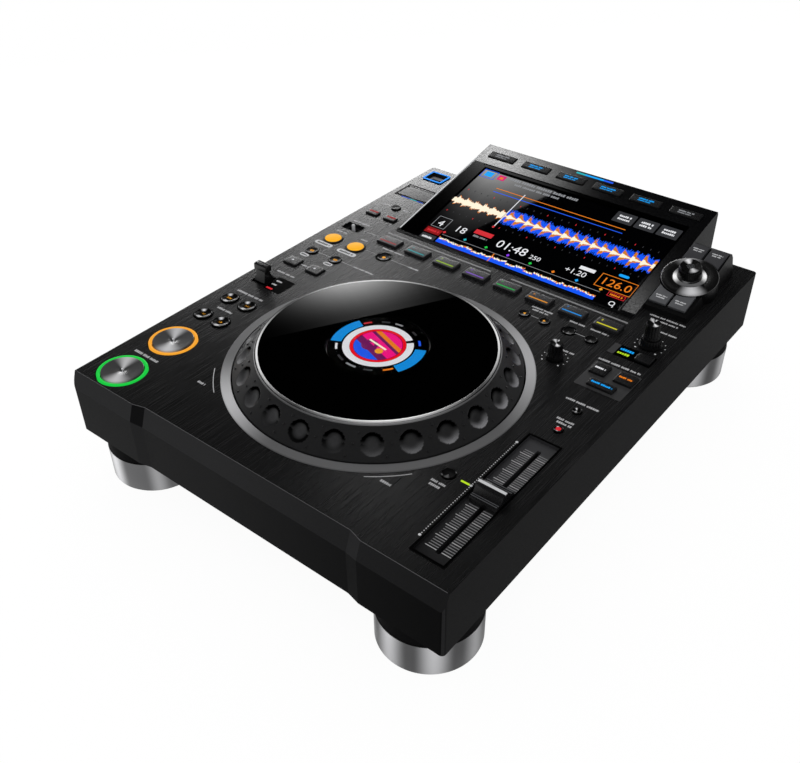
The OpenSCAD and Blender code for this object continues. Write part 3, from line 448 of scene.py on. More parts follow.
class Shape:
    """A mesh in the making, in the millimetres of the frame that it is placed in."""

    def __init__(self, place=PANEL):
        self.place = place
        self.bm = bmesh.new()
        self.materials = []

    def index(self, material):
        if material not in self.materials:
            self.materials.append(material)
        return self.materials.index(material)

    def face(self, corners, material):
        self.bm.faces.new(corners).material_index = self.index(material)

    def loft(self, rings, material, top=None, loop=False):
        """Skin over rings of points that all have the same count, closed at both ends."""
        rows = [[self.bm.verts.new(point) for point in ring] for ring in rings]
        pairs = list(zip(rows, rows[1:]))
        if loop:
            pairs.append((rows[-1], rows[0]))
        for low, high in pairs:
            for i, corner in enumerate(low):
                j = (i + 1) % len(low)
                self.face((corner, low[j], high[j], high[i]), material)
        if not loop:
            self.face(list(reversed(rows[0])), material)
            self.face(rows[-1], top or material)

    def prism(self, outline, z0, z1, material):
        self.loft([[(x, y, z) for x, y in outline] for z in (z0, z1)], material)

    def cap(self, outline, z0, z1, material, edge=0.4, crown=0.0):
        """Key cap: a drawn-in outline with a rounded upper edge and a slightly crowned top."""
        steps = 4
        rings = [[(x, y, z0) for x, y in outline(0)]]
        for k in range(steps + 1):
            angle = math.pi / 2 * k / steps
            inset = edge * (1 - math.cos(angle))
            height = z1 - edge + edge * math.sin(angle)
            rings.append([(x, y, height) for x, y in outline(inset)])
        if crown:
            rings.append([(x, y, z1 + crown) for x, y in outline(edge * 2.5)])
        self.loft(rings, material)

    def lathe(self, profile, at, material, steps=48, loop=False, flute=None):
        """Turned part about an upright axis; flute changes the radius with the angle."""
        rings = []
        for radius, z in profile:
            ring = []
            for k in range(steps):
                angle = math.tau * k / steps
                r = flute(radius, z, angle) if flute else radius
                ring.append((*polar(at, r, angle), z))
            rings.append(ring)
        self.loft(rings, material, loop=loop)

    def hoop(self, profile, at, material, steps):
        """Turned part with a hole, of a closed section."""
        self.lathe(profile, at, material, steps, loop=True)

    def block(self, x0, y0, x1, y1, z0, z1, material):
        self.prism([(x0, y0), (x1, y0), (x1, y1), (x0, y1)], z0, z1, material)

    def bar(self, x0, y0, x1, y1, z, material, layers=1):
        """Printed or lit rectangle, one or more layers of ink thick."""
        self.block(x0, y0, x1, y1, z, z + INK * layers, material)

    def line(self, start, end, width, z, material):
        """Straight printed or lit bar between two points."""
        a = Vector(start)
        b = Vector(end)
        side = (b - a).normalized().orthogonal() * width / 2
        self.prism([a + side, a - side, b - side, b + side], z, z + INK, material)

    def arc(self, at, r0, r1, a0, a1, z, material):
        """Flat ring sector between two angles in degrees."""
        count = max(2, int(abs(a1 - a0) / 3) + 1)
        angles = [math.radians(a0 + (a1 - a0) * k / count) for k in range(count + 1)]
        outer = [polar(at, r1, a) for a in angles]
        inner = [polar(at, r0, a) for a in angles]
        for i in range(count):
            self.prism((inner[i], outer[i], outer[i + 1], inner[i + 1]), z, z + INK, material)

    def ring(self, at, r0, r1, z, material, steps=64):
        self.hoop(((r0, z), (r1, z), (r1, z + INK), (r0, z + INK)), at, material, steps)

    def dot(self, at, r, z, material, height=INK, steps=16):
        self.lathe(((r, z), (r, z + height)), at, material, steps)

    def pill(self, at, w, h, z, material):
        self.prism(rounded(*at, w, h, h / 2)(0), z, z + INK, material)

    def words(self, x0, x1, y, height, z, material, seed):
        """Row of small blocks that stands in for a printed label."""
        draw = random.Random(seed)
        x = x0
        letters = 0
        length = draw.randint(4, 7)
        while x < x1:
            wide = min(height * draw.uniform(0.42, 0.68), x1 - x)
            tall = height * draw.choice((1.0, 1.0, 0.82))
            self.bar(x, y - height / 2, x + wide, y - height / 2 + tall, z, material)
            letters += 1
            x += wide + height * 0.16
            if letters == length:
                letters = 0
                length = draw.randint(3, 7)
                x += height * 0.45

    def figures(self, text, at, height, z, material):
        """Plain numerals, centred on a point."""
        curve = bpy.data.curves.new("figures", "FONT")
        curve.body = text
        curve.align_x = "CENTER"
        curve.align_y = "CENTER"
        curve.size = height / 0.7
        curve.extrude = INK / 2
        curve.resolution_u = 3
        holder = in_scene("figures", curve)
        graph = bpy.context.evaluated_depsgraph_get()
        mesh = bpy.data.meshes.new_from_object(holder.evaluated_get(graph))
        mesh.transform(Matrix.Translation((at[0], at[1], z + INK / 2)))
        first = len(self.bm.faces)
        self.bm.from_mesh(mesh)
        self.bm.faces.ensure_lookup_table()
        for face in self.bm.faces[first:]:
            face.material_index = self.index(material)
        bpy.data.objects.remove(holder)
        bpy.data.curves.remove(curve)
        bpy.data.meshes.remove(mesh)

    def done(self, name, body="player", replaces=(), sharp=35):
        """Finished piece, riding on a body and the CAD nodes it replaces."""
        self.bm.transform(self.place)
        bmesh.ops.recalc_face_normals(self.bm, faces=self.bm.faces)
        mesh = bpy.data.meshes.new(name)
        self.bm.to_mesh(mesh)
        self.bm.free()
        for material in self.materials:
            mesh.materials.append(material)
        mesh.shade_smooth()
        mesh.set_sharp_from_angle(angle=math.radians(sharp))
        piece = in_scene(name, mesh)
        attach(piece, body)
        if replaces:
            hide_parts(*replaces)
        return piece

    def instead(self, name, node, sharp=35):
        """Finished piece in place of the CAD node that has the name of its body."""
        return self.done(name, node, [node], sharp)

    def caps(self, group):
        """Finished caps of a group of keys."""
        self.instead(group + "_caps", group + "_keys")


def rounded(x, y, w, d, r, steps=5):
    """Outline of a rounded rectangle as a function of how far it is drawn in."""
    def outline(inset=0.0):
        radius = max(r - inset, 0.08)
        points = []
        for quarter, (sx, sy) in enumerate(((1, 1), (-1, 1), (-1, -1), (1, -1))):
            centre = (x + sx * (w / 2 - inset - radius), y + sy * (d / 2 - inset - radius))
            for k in range(steps + 1):
                points.append(polar(centre, radius, math.pi / 2 * (quarter + k / steps)))
        return points
    return outline


def circle(x, y, r, steps):
    """Outline of a circle as a function of how far it is drawn in."""
    def outline(inset=0.0):
        return [polar((x, y), r - inset, math.tau * k / steps) for k in range(steps)]
    return outline


def dish(r, z, depth):
    """Profile of the shallow dish in the top of a round key."""
    edge = 0.9
    return (
        (r - edge, z - 0.6), (r - edge, z - 0.12), (r * 0.7, z - depth * 0.5),
        (r * 0.4, z - depth * 0.85), (r * 0.08, z - depth)
    )


# ---------------------------------------------------------------- CAD nodes that stay
NODE_MATERIALS = {
    "upper_case": CASE_BLACK, "bottom_plate": STEEL_BLACK, "top_panel": PANEL_BLACK,
    "rear_panel": STEEL_BLACK, "screen_hood": HOOD_BLACK, "screen_bezel": BEZEL_BLACK,
    "screen_glass": SCREEN_GLASS, "screen_module": METAL_FRAME,
    "selector_housing": BLOCK_BLACK, "selector_shaft": STEEL, "jog_trim_ring": SILVER_PAINTED_SHEEN,
    "jog_mount": METAL_FRAME, "slider_panel": TRAY_GREY, "tempo_fader": METAL_FRAME,
    "foot_cores": RUBBER, "key_panels": SMOKE, "circuit_boards": BOARD,
    "power_supply": METAL_FRAME, "audio_jacks": GOLD, "rear_sockets": PORT_DARK,
    "case_screws": STEEL, "sd_slot": PORT_DARK, "sd_door": DOOR_SMOKE, "usb_port": PORT_DARK
}


def dress_nodes():
    """Gives each carried-over CAD node its finish and paints light and shade on some faces; those
    that are replaced stay key black.
    """
    for name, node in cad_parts.items():
        node.data.materials.clear()
        node.data.materials.append(NODE_MATERIALS.get(name, KEY_BLACK))
    repaint("key_panels", SYNC_GREY, lambda place, normal: inside(place, SYNC_PLATE))
    repaint("key_panels", BLACK_WINDOW_AND_GAP_SHADE,
            lambda place, normal: inside(place, LEVER_WINDOW) or inside(place, MODE_WINDOW))
    repaint("usb_port", GREY_METAL_AND_EDGE_HIGHLIGHT, lambda place, normal: normal.z > 0.9 and place.z < -3)
    # painted light on the hood's right side wall
    repaint("screen_hood", HOOD_SIDE_LIT, lambda place, normal: normal.x > 0.9)
    repaint("top_panel", CASE_BLACK, lambda place, normal: normal.z < 0.3)
    # painted light and shade: each kind of front face gets its own copy of the case plastic
    front_rules = (
        (CASE_FRONT_SHADED, lambda place, normal: normal.y < -0.9 and normal.z < 0.2),
        (CASE_BEVEL_PAINTED_LIGHT, lambda place, normal: normal.y < -0.7 and normal.z > 0.2),
        (CASE_TURN_LIT, lambda place, normal: slanted(place, normal, -1) and normal.z < 0.2),
        (CASE_NOTCH_SHADED, lambda place, normal: slanted(place, normal, -1) and normal.z > 0.2),
        (CASE_BEVEL_LIT, lambda place, normal: normal.x > 0.45 and normal.y < -0.45),
        (CASE_FRONT_SHADED, lambda place, normal: slanted(place, normal, 1) and normal.z < 0.2),
        (CASE_BEVEL_LIT, lambda place, normal: slanted(place, normal, 1) and normal.z > 0.2)
    )
    for name in ("upper_case", "top_panel"):
        for material, chosen in front_rules:
            repaint(name, material, chosen)


def inside(place, plate):
    """Whether a place lies on a plate that is given by its centre, width and depth."""
    x, y, w, d = plate
    return abs(place.x - x) <= w / 2 + 0.1 and abs(place.y - y) <= d / 2 + 0.1


def slanted(place, normal, side):
    """The short slanted faces of the front, between its middle and one of its corners."""
    outer, inner = STEP_X
    return normal.y < -0.3 and 0.1 < abs(normal.x) and inner - 2 < place.x * side < outer + 2


def repaint(name, material, chosen):
    """Second material on those faces of a CAD node that a rule picks."""
    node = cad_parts[name]
    node.data.materials.append(material)
    index = len(node.data.materials) - 1
    to_panel = PANEL.inverted() @ node.matrix_world
    turn = node.matrix_world.to_3x3()
    for face in node.data.polygons:
        if chosen(to_panel @ face.center, (turn @ face.normal).normalized()):
            face.material_index = index


# ---------------------------------------------------------------- camera, floor and light
CAMERA_AT = (357.74, -489.03, 402.94)
CAMERA_RIGHT = Vector((0.78295, 0.62201, -0.00934)).normalized()
CAMERA_FORWARD = Vector((-0.49857, 0.61846, -0.60740)).normalized()
CAMERA_SHIFT = (-0.00196, -0.00024)
FRAME_WIDTH = 800
FOCAL_PIXELS = 949.1
SENSOR = 36


def add_camera():
    """Camera that was solved from the photograph."""
    camera = bpy.data.cameras.new("camera")
    camera.sensor_width = SENSOR
    camera.lens = SENSOR * FOCAL_PIXELS / FRAME_WIDTH
    camera.clip_end = 30
    camera.shift_x, camera.shift_y = CAMERA_SHIFT
    holder = in_scene("camera", camera)
    up = CAMERA_RIGHT.cross(CAMERA_FORWARD)
    axes = Matrix((CAMERA_RIGHT, up, -CAMERA_FORWARD)).transposed().to_4x4()
    holder.matrix_world = Matrix.Translation(PANEL @ Vector(CAMERA_AT)) @ axes
    bpy.context.scene.camera = holder


def add_floor():
    """Wide pale floor that the camera sees as white, with the object's shadow on it."""
    half = 6
    mesh = bpy.data.meshes.new("floor")
    corners = [(-half, -half, 0), (half, -half, 0), (half, half, 0), (-half, half, 0)]
    mesh.from_pydata(corners, [], [(0, 1, 2, 3)])
    material = surface("floor_white", (0.6, 0.6, 0.6), 0.9, specular=0.0)
    mesh.materials.append(material)
    tree = material.node_tree
    path = add_node(tree, "LightPath").outputs
    fade = ranged(tree, along(tree, "X"), (-0.2, 0.2), (1.0, 0.2))
    gloss = combine(tree, "MULTIPLY", path["Is Glossy Ray"], fade)
    seen = combine(tree, "MAXIMUM", path["Is Camera Ray"], gloss)
    seen = combine(tree, "MAXIMUM", seen, path["Is Transmission Ray"])
    share = combine(tree, "MULTIPLY", seen, 0.9)
    glow = add_node(tree, "Emission", {"Strength": 1.06}).outputs[0]
    mix = blend(tree, share, tree.nodes["Principled BSDF"].outputs[0], glow)
    feed(tree, tree.nodes["Material Output"].inputs["Surface"], mix)
    in_scene("floor", mesh)


def add_world():
    """White to the camera; a plain soft light, and darker overhead where gloss reflects it."""
    world = bpy.data.worlds.new("studio")
    bpy.context.scene.world = world
    world.use_nodes = True
    tree = world.node_tree
    height = along(tree, "Z", "Generated")

    def sky(strength):
        white = {"Color": (1, 1, 1, 1), "Strength": strength}
        return add_node(tree, "Background", white).outputs[0]

    soft = sky(ranged(tree, height, (0, 1), (0.1, 1.1)))
    gloss = sky(ranged(tree, height, (0.02, 0.25), (1.0, 0.0)))
    path = add_node(tree, "LightPath").outputs
    bounced = combine(tree, "MAXIMUM", path["Is Glossy Ray"], path["Is Transmission Ray"])
    mix = blend(tree, path["Is Camera Ray"], blend(tree, bounced, soft, gloss), sky(1.0))
    feed(tree, tree.nodes["World Output"].inputs["Surface"], mix)


def lamp(name, at, aim, width, height, radiance):
    """Soft rectangular lamp; radiance 1 looks white when it is seen in a mirror."""
    light = bpy.data.lights.new(name, "AREA")
    light.shape = "RECTANGLE"
    light.size = width
    light.size_y = height
    light.energy = radiance * math.pi * width * height
    holder = in_scene(name, light)
    holder.location = at
    holder.rotation_euler = (aim - at).to_track_quat("-Z", "Y").to_euler()
    holder.visible_camera = False


def card(name, place, distance, columns, rows, spread, level):
    """Light card laid out by the mirror image that it makes on a flat surface.

    spread turns a column and a row into a point of that surface, and level into its light.
    """
    eye = PANEL @ Vector(CAMERA_AT)
    normal = (place.to_3x3() @ Vector((0, 0, 1))).normalized()
    corners = []
    levels = []
    for v in rows:
        for u in columns:
            touched = place @ Vector(spread(u, v))
            ray = (touched - eye).normalized()
            bounce = ray - 2 * ray.dot(normal) * normal
            corners.append(touched + bounce * distance)
            levels.append(level(u, v))
    wide = len(columns)
    starts = [r * wide + c for r in range(len(rows) - 1) for c in range(wide - 1)]
    faces = [(k, k + 1, k + wide + 1, k + wide) for k in starts]
    mesh = bpy.data.meshes.new(name)
    mesh.from_pydata(corners, [], faces)
    shades = mesh.color_attributes.new("light", "FLOAT_COLOR", "POINT")
    for shade, value in zip(shades.data, levels):
        shade.color = (value, value, value, 1)
    material = bpy.data.materials.new(name)
    material.use_nodes = True
    tree = material.node_tree
    tree.nodes.clear()
    painted = add_node(tree, "Attribute", attribute_name="light").outputs["Color"]
    glow = add_node(tree, "Emission", {"Color": painted}).outputs[0]
    add_node(tree, "OutputMaterial", {"Surface": glow})
    mesh.materials.append(material)
    holder = in_scene(name, mesh)
    holder.visible_camera = False
    holder.visible_shadow = False


def evenly(low, high, count):
    """Evenly spaced values from low to high."""
    return [low + (high - low) * k / (count - 1) for k in range(count)]


def add_lights():
    """Three cards that show in the disc, the hood and the screen's right edge, and a strip lamp."""
    side, front = 0.504, 0.863

    def on_disc(along, across):
        return 10 - side * along - front * across, 8 - front * along + side * across, 19.6

    def disc_level(along, across):
        return math.exp(-((along - 64) / 40) ** 2) * (0.4 + 0.0019 * min(across, 47) ** 2)

    card("disc_card", PANEL, 1.0, evenly(-40, 170, 22), evenly(0, 74, 12), on_disc, disc_level)

    def on_hood(share, s):
        edge = -60 + 58 * (s - 15) / 135
        return -125 + (edge + 125) * share, s, 0

    def hood_level(share, s):
        x = on_hood(share, s)[0]
        width = min(64, 52 + 0.65 * (x + 92))
        left = min(max(-30 - x, 0) / 50, 1)
        rise = min(max(s - 108, 0) / 30, 1)
        fade = math.exp(-0.0195 * max(x + 94, 0) - ((150 - s) / max(width, 44)) ** 2)
        return 9.7 * (1 + 0.75 * left * rise) * fade

    card("hood_card", HOOD, 10, evenly(0, 1, 8), evenly(15, 150, 14), on_hood, hood_level)

    def on_edge(x, s):
        return x, s, 0

    def edge_level(x, s):
        return 5.2 * max((62 - s) / 62, 0) ** 2

    card("edge_card", HOOD, 2.5, evenly(103, 117.5, 3), evenly(-6, 62, 9), on_edge, edge_level)
    lamp("strip", PANEL @ Vector((-640, 541, 257)), PANEL @ Vector(), 1.08, 0.055, 13.5)


# ---------------------------------------------------------------- shared key parts
def stack(shape, levels, at, material, top=None):
    """Body of rounded-rectangle sections; each level is height, width, depth and radius."""
    rings = [[(x, y, z) for x, y in rounded(*at, w, d, r)()] for z, w, d, r in levels]
    shape.loft(rings, material, top)


def round_key(shape, at, r, z, depth, material):
    """Round key: a dark rounded rim about a dish; both have painted highlights in their materials."""
    rim = (
        (r, KEY_FOOT), (r, z - 0.5), (r - 0.15, z - 0.15), (r - 0.45, z), (r - 0.85, z - 0.08),
        (r - 0.95, z - 0.5), (r - 0.95, KEY_FOOT)
    )
    shape.hoop(rim, at, RIM_KEY, 48)
    shape.lathe(dish(r, z, depth), at, material)


def box_key(shape, at, w, d, z, material):
    """Rectangular key with rounded corners and edges."""
    shape.cap(rounded(*at, w, d, 0.8), KEY_FOOT, z, material, 0.45, crown=0.08)


def arrow(shape, tip, size, z, material, height):
    """Triangle pointing along X; a negative size points to the left."""
    x, y = tip
    half = abs(size) * 0.62
    shape.prism([(x, y), (x - size, y + half), (x - size, y - half)], z, z + height, material)


def frame_bar(shape, x, y, w, d, thick, z, material, height=INK):
    """Hollow rectangle."""
    front, back = y - d / 2, y + d / 2
    shape.block(x - w / 2, front, x + w / 2, front + thick, z, z + height, material)
    shape.block(x - w / 2, back - thick, x + w / 2, back, z, z + height, material)
    for side in (-1, 1):
        low, high = sorted((x + side * (w / 2 - thick), x + side * w / 2))
        shape.block(low, front + thick, high, back - thick, z, z + height, material)


# ---------------------------------------------------------------- transport keys
def transport(name, at, glow, metal):
    """Large metal button in its light ring."""
    ring = Shape()
    profile = (
        (15.9, -2), (18.2, -2), (18.2, 0.15), (17.9, 0.45), (17.1, 0.6), (16.3, 0.45),
        (15.9, 0.15)
    )
    ring.hoop(profile, at, glow, 96)
    ring.done(name + "_light", replaces=[name + "_light_ring"])
    cap = Shape()
    profile = (
        (15.35, KEY_FOOT), (15.35, 0.4), (15.2, 0.75), (14.85, 0.95), (14.2, 0.98), (13.4, 0.9),
        (7, 0.6), (2.6, 0.35), (2.2, 0.2), (1.6, -0.35), (0.8, -0.6), (0.1, -0.65)
    )
    cap.lathe(profile, at, metal, steps=96)
    # painted glints in the cap's middle
    for turn in (150, 330):
        glint = polar(at, 1.9, math.radians(turn))
        cap.lathe(((0.5, -0.4), (0.5, 0.2), (0.1, 0.35)), glint, PAINTED_GLINT, steps=10)
    cap.instead(name + "_cap", name + "_button", sharp=25)


def add_search_keys():
    """Track search and search keys: glossy dished caps with lit arrows."""
    z = 0.1
    for name, spots in (("track_search", TRACK), ("search", SEARCH)):
        keys = Shape()
        for (x, y), way in zip(spots, (-1, 1)):
            round_key(keys, (x, y), 7, 1, 0.8, GLOSS_KEY)
            # painted shade in the gap round each key
            keys.ring((x, y), 7.1, 7.9, 0, BLACK_WINDOW_AND_GAP_SHADE, steps=48)
            for tip in (1.9, 0.1):
                arrow(keys, (x + way * tip, y), way * 1.9, z, AMBER, 0.3)
            if spots is TRACK:
                stop = x + way * 2.3
                keys.block(stop - 0.3, y - 1.2, stop + 0.3, y + 1.2, z, z + 0.3, AMBER)
        keys.caps(name)


# ---------------------------------------------------------------- keys on the left
def add_left_keys():
    """Direction lever, beat jump, beat loop and loop keys, mode switch and source keys."""
    lever = Shape()
    body = ((-5, 11, 4.4, 0.8), (-1, 11, 6.4, 0.9), (0.4, 11.6, 10.6, 0.6), (9.6, 9.6, 4.6, 0.6))
    stack(lever, body, LEVER, KEY_BLACK)
    grip = ((9.5, 13.4, 6.2, 0.9), (9.9, 14, 6.8, 1), (13.7, 14, 6.6, 1), (14.3, 13.6, 6, 1),
            (14.6, 12.6, 5, 1))
    stack(lever, grip, LEVER, KEY_BLACK, KEY_GREY)
    x, y = LEVER
    for side in (-1, 1):
        rib = y + side * 1.6
        lever.block(x - 5.6, rib - 0.25, x + 5.6, rib + 0.25, 14.4, 14.85, KEY_GREY)
    lever.instead("direction_lever_grip", "direction_lever")

    jump = Shape()
    for at in JUMP:
        box_key(jump, at, 13.5, 11, 1.5, KEY_PANEL)
        jump.dot((at[0] - 1, at[1] + 0.8), 1.05, 1.52, WHITE_LED, steps=20)
    jump.caps("beat_jump")

    loops = Shape()
    for at in SMALL_LOOP:
        round_key(loops, at, 5.5, 1, 0.6, PLAIN_KEY)
        frame_bar(loops, *at, 3.4, 2, 0.5, 0.2, AMBER, 0.4)
    round_key(loops, RELOOP, 5.5, 0.2, 0.5, PLAIN_KEY)
    loops.dot(RELOOP, 1.5, -0.4, AMBER, 0.3)
    loops.caps("beat_loop")

    pads = Shape()
    for at in LOOP:
        pads.cap(circle(*at, 8.7, 64), KEY_FOOT, 0.9, DARK_KNOB_AND_SHADE, 0.5)
        pads.cap(circle(*at, 7.3, 64), KEY_FOOT, 1.15, KEY_AMBER, 0.4, crown=0.15)
    pads.instead("loop_pads", "loop_keys")

    switch = Shape()
    switch.lathe(((1.5, -6), (1.5, 2), (1.2, 2.5), (0.3, 2.7)), MODE, WHITE_INK, steps=24)
    switch.instead("mode_switch_tip", "mode_switch")

    source = Shape()
    for at in SOURCE:
        box_key(source, at, 12.5, 7, 1.5, KEY_BLACK)
        source.block(at[0] - 4.8, at[1] + 0.2, at[0] + 4.8, at[1] + 2.6, 1.4, 1.62, DEEP_RED)
    round_key(source, STOP, 4.5, 1.2, 0.4, PLAIN_KEY)
    source.caps("source")


# ---------------------------------------------------------------- keys in the middle and right
def add_hot_cues():
    """Eight keys, each with a lit bar and a numeral in its own colour."""
    for i in range(HOT_CUES):
        x = HOT_CUE_X + HOT_CUE_PITCH * (i - 3.5)
        key = Shape()
        box_key(key, (x, HOT_CUE_Y), 21, 12, 2, KEY_GREY)
        key.block(x - 8.5, HOT_CUE_Y - 3.4, x + 8.5, HOT_CUE_Y - 2.0, 1.9, 2.14, DIM_CUES[i])
        key.figures(str(i + 1), (x - 6.5, HOT_CUE_Y + 2.6), 2.2, 2.08, DIM_CUES[i])
        name = "hot_cue_" + str(i + 1)
        key.instead(name + "_cap", name)


def add_right_keys():
    """Call, delete, memory, tempo and sync keys."""
    memory = Shape()
    for at, way in zip(CALL, (-1, 1)):
        round_key(memory, at, 4.6, 1, 0.4, PLAIN_KEY)
        arrow(memory, (at[0] + way * 1.1, at[1]), way * 2.1, 0.5, AMBER, 0.25)
    round_key(memory, DELETE, 4.8, 0.2, 0.4, PLAIN_KEY)
    round_key(memory, MEMORY, 4.8, 1, 0.4, PLAIN_KEY)
    memory.caps("memory")

    tempo = Shape()
    for at in (RANGE, MASTER):
        round_key(tempo, at, 3.5, 1.2, 0.3, GLOSS_KEY)
    tempo.dot(MASTER, 1.9, 0.8, RED_LED, 0.25, steps=24)
    round_key(tempo, RESET, 5, 0.8, 0.6, PLAIN_KEY)
    tempo.caps("tempo")

    sync = Shape()
    lights = ((MODE_KEY, None), (WHITE_KEY, WHITE_LED), (ORANGE_KEY, ORANGE_LED),
              (BLUE_KEY, BLUE_LED))
    for seed, ((x, y, w, d), light) in enumerate(lights):
        box_key(sync, (x, y), w, d, 1.6, KEY_BLACK)
        if light:
            sync.words(x - w / 2 + 2, x + w / 2 - 2, y, 1.9, 1.7, light, seed)
    sync.caps("sync")


def fluted(count, low, high, depth):
    """Radius rule for a grip with rounded grooves between two heights."""
    def rule(r, z, angle):
        if not low <= z <= high:
            return r
        wave = abs(math.sin(count * angle / 2))
        return r - depth * (1 - wave ** 0.7)
    return rule


def hollow(shape, at, r, z, depth, material=KNOB_BLACK):
    """Shallow cone in the top of a knob, whose material paints one light and one dark pair of wedges
    on it.
    """
    shape.lathe(((r, z), (r - 0.1, z + depth), (0.15, z + 0.05)), at, material, steps=64)


def pointer(shape, at, y0, y1, z0, z1):
    """White mark on the side of a knob that faces the back."""
    x, y = at
    shape.block(x - 0.45, y + y0, x + 0.45, y + y1, z0, z1, WHITE_INK)


def knob(name, at, profile, grooves, top, marks, steps=112, loop=False):
    """Fluted knob with white marks and, where its top is seen, a hollow in it."""
    shape = Shape()
    shape.lathe(profile, at, DARK_KNOB_AND_SHADE, steps, loop, fluted(*grooves))
    if top:
        hollow(shape, at, *top, 0.5)
    for mark in marks:
        pointer(shape, at, *mark)
    shape.instead(name + "_grip", name + "_knob")


def add_knobs():
    """Jog adjust knob, and the touch knob that stands on the release knob."""
    adjust = (
        (3, KEY_FOOT), (3, 0.5), (6.6, 0.5), (6.6, 1.8), (6.3, 2.2), (5.7, 2.8), (5.6, 3.2),
        (5.1, 12.0), (4.9, 12.7), (4.6, 12.95)
    )
    marks = ((2.2, 4.4, 12.5, 13.5), (4.9, 5.7, 2.5, 12.2))
    knob("jog_adjust", ADJUST, adjust, (14, 3, 12.4, 0.5), (4.6, 12.95), marks)
    touch = (
        (3, KEY_FOOT), (3, 7.3), (6, 7.3), (6, 8.4), (5.7, 8.9), (5.6, 9.3), (5.4, 18.4),
        (5.2, 19.1), (4.9, 19.45)
    )
    marks = ((2.4, 4.7, 19, 20), (5.2, 5.95, 8.6, 18.6))
    knob("vinyl_touch", VINYL, touch, (14, 9, 18.9, 0.5), (4.9, 19.45), marks)
    release = (
        (3.1, KEY_FOOT), (4.4, KEY_FOOT), (4.4, 0.5), (8.6, 0.5), (8.6, 1.5), (8.3, 1.9),
        (7.7, 2.5), (7.2, 6.3), (7, 6.8), (6.5, 7), (3.1, 7)
    )
    marks = ((6.6, 7.9, 1.2, 6.95),)
    knob("vinyl_release", VINYL, release, (20, 2.4, 6.9, 0.5), None, marks, 160, True)


def add_slider():
    """Tempo slider cap: stepped ramps either side of a flat crest with the index line."""
    x, y = SLIDER
    half = [
        (10, -1.8), (10, 1.8), (9.4, 2.4), (8.6, 2.8), (7.8, 2.3), (7, 2.9), (6.2, 2.3),
        (5.4, 3.2), (3.6, 6.2), (2.8, 7.6), (2.3, 8)
    ]
    mirrored = [(-u, w) for u, w in reversed(half)]
    outline = mirrored[-1:] + half + mirrored[:-1]
    cap = Shape()
    rings = []
    for reach, share in ((-10, 0.95), (-9.5, 1), (9.5, 1), (10, 0.95)):
        rings.append([(x + reach, y + u * share, w * share) for u, w in outline])
    cap.loft(rings, KEY_BLACK)
    cap.block(x - 10.02, y - 1.1, x + 10.02, y + 1.1, 7.3, 8.08, WHITE_INK)
    # painted highlights on the ridges
    for u in (-8.6, -7, 7, 8.6):
        cap.block(x - 9.6, y + u - 0.25, x + 9.6, y + u + 0.25, 2.6, 2.98, KEY_LIT)
    cap.block(x - 1.3, y - 4, x + 1.3, y + 4, -14, -1.7, KEY_BLACK)
    cap.instead("tempo_slider_cap", "tempo_slider", sharp=40)


# ---------------------------------------------------------------- jog wheel
WHEEL_R = 103.6
SLOPE_FOOT = 1.2
SLOPE = 16.2
DIMPLES = 24
DIMPLE_TURN = 7.3
DIMPLE_MID = 95.5
DIMPLE_R = 7.75
DIMPLE_DEPTH = 2.3


def from_dimple(angle):
    """Turn from the middle of the nearest finger dimple."""
    pitch = math.tau / DIMPLES
    return (angle - math.radians(DIMPLE_TURN) + pitch / 2) % pitch - pitch / 2


def wheel_rings():
    """Closed section of the wheel, with the finger dimples pressed into its slope."""
    across = 40
    around = DIMPLES * 36
    lean = math.sqrt(0.5)
    angles = [math.tau * k / around for k in range(around)]
    rings = [[(WHEEL_R - 0.3, -2.5)] * around, [(WHEEL_R, -2.2)] * around]
    for i in range(across + 1):
        rise = SLOPE * i / across
        along = (WHEEL_R - rise - DIMPLE_MID) / lean
        ring = []
        for angle in angles:
            reach = math.hypot(along, DIMPLE_MID * from_dimple(angle)) / DIMPLE_R
            sink = DIMPLE_DEPTH * (1 - reach ** 2) if reach < 1 else 0.0
            ring.append((WHEEL_R - rise - sink * lean, SLOPE_FOOT + rise - sink * lean))
        rings.append(ring)
    for inner in ((72, 17.4), (72, 15), (84.5, 15), (99, 0.5), (100.5, -2.5)):
        rings.append([inner] * around)
    return [[(*polar(JOG, r, angle), z) for angle, (r, z) in zip(angles, ring)] for ring in rings]


def paint_dimples(mesh):
    """Painted shade on the inner walls of the dimples, painted light on their outer walls on the
    right, and a soft painted light in the others.
    """
    painted_shades = mesh.color_attributes.new("tone", "FLOAT_COLOR", "POINT")
    to_panel = PANEL.inverted()
    right_way, left_way = math.radians(5), math.radians(195)
    for vertex, tone in zip(mesh.vertices, painted_shades.data):
        x, y, z = to_panel @ vertex.co
        angle = math.atan2(y - JOG[1], x - JOG[0])
        r = math.hypot(x - JOG[0], y - JOG[1])
        depth = SLOPE_FOOT + WHEEL_R - r - z
        along = (z - SLOPE_FOOT + WHEEL_R - r) / 2
        along = (WHEEL_R - DIMPLE_MID - along) * math.sqrt(2) / DIMPLE_R
        reach = math.hypot(along, DIMPLE_MID * from_dimple(angle) / DIMPLE_R)
        level = 1.0
        if reach < 1 and abs(depth) < 4:
            right = max(math.cos(angle - right_way), 0) ** 2
            left = max(math.cos(angle - left_way), 0) ** 2
            front = max(1 - right - left, 0)
            edge = min(max((reach - 0.35) / 0.4, 0), 1)
            if along < 0:
                level = 1 - edge * min(-3.5 * along, 1)
            else:
                level = 1 + (16 * right + 8 * left) * along * edge - front * edge
            level += (1.6 * front + 2.2 * left) * (1 - edge)
            level = max(level, 0)
        tone.color = (level, level, level, 1)


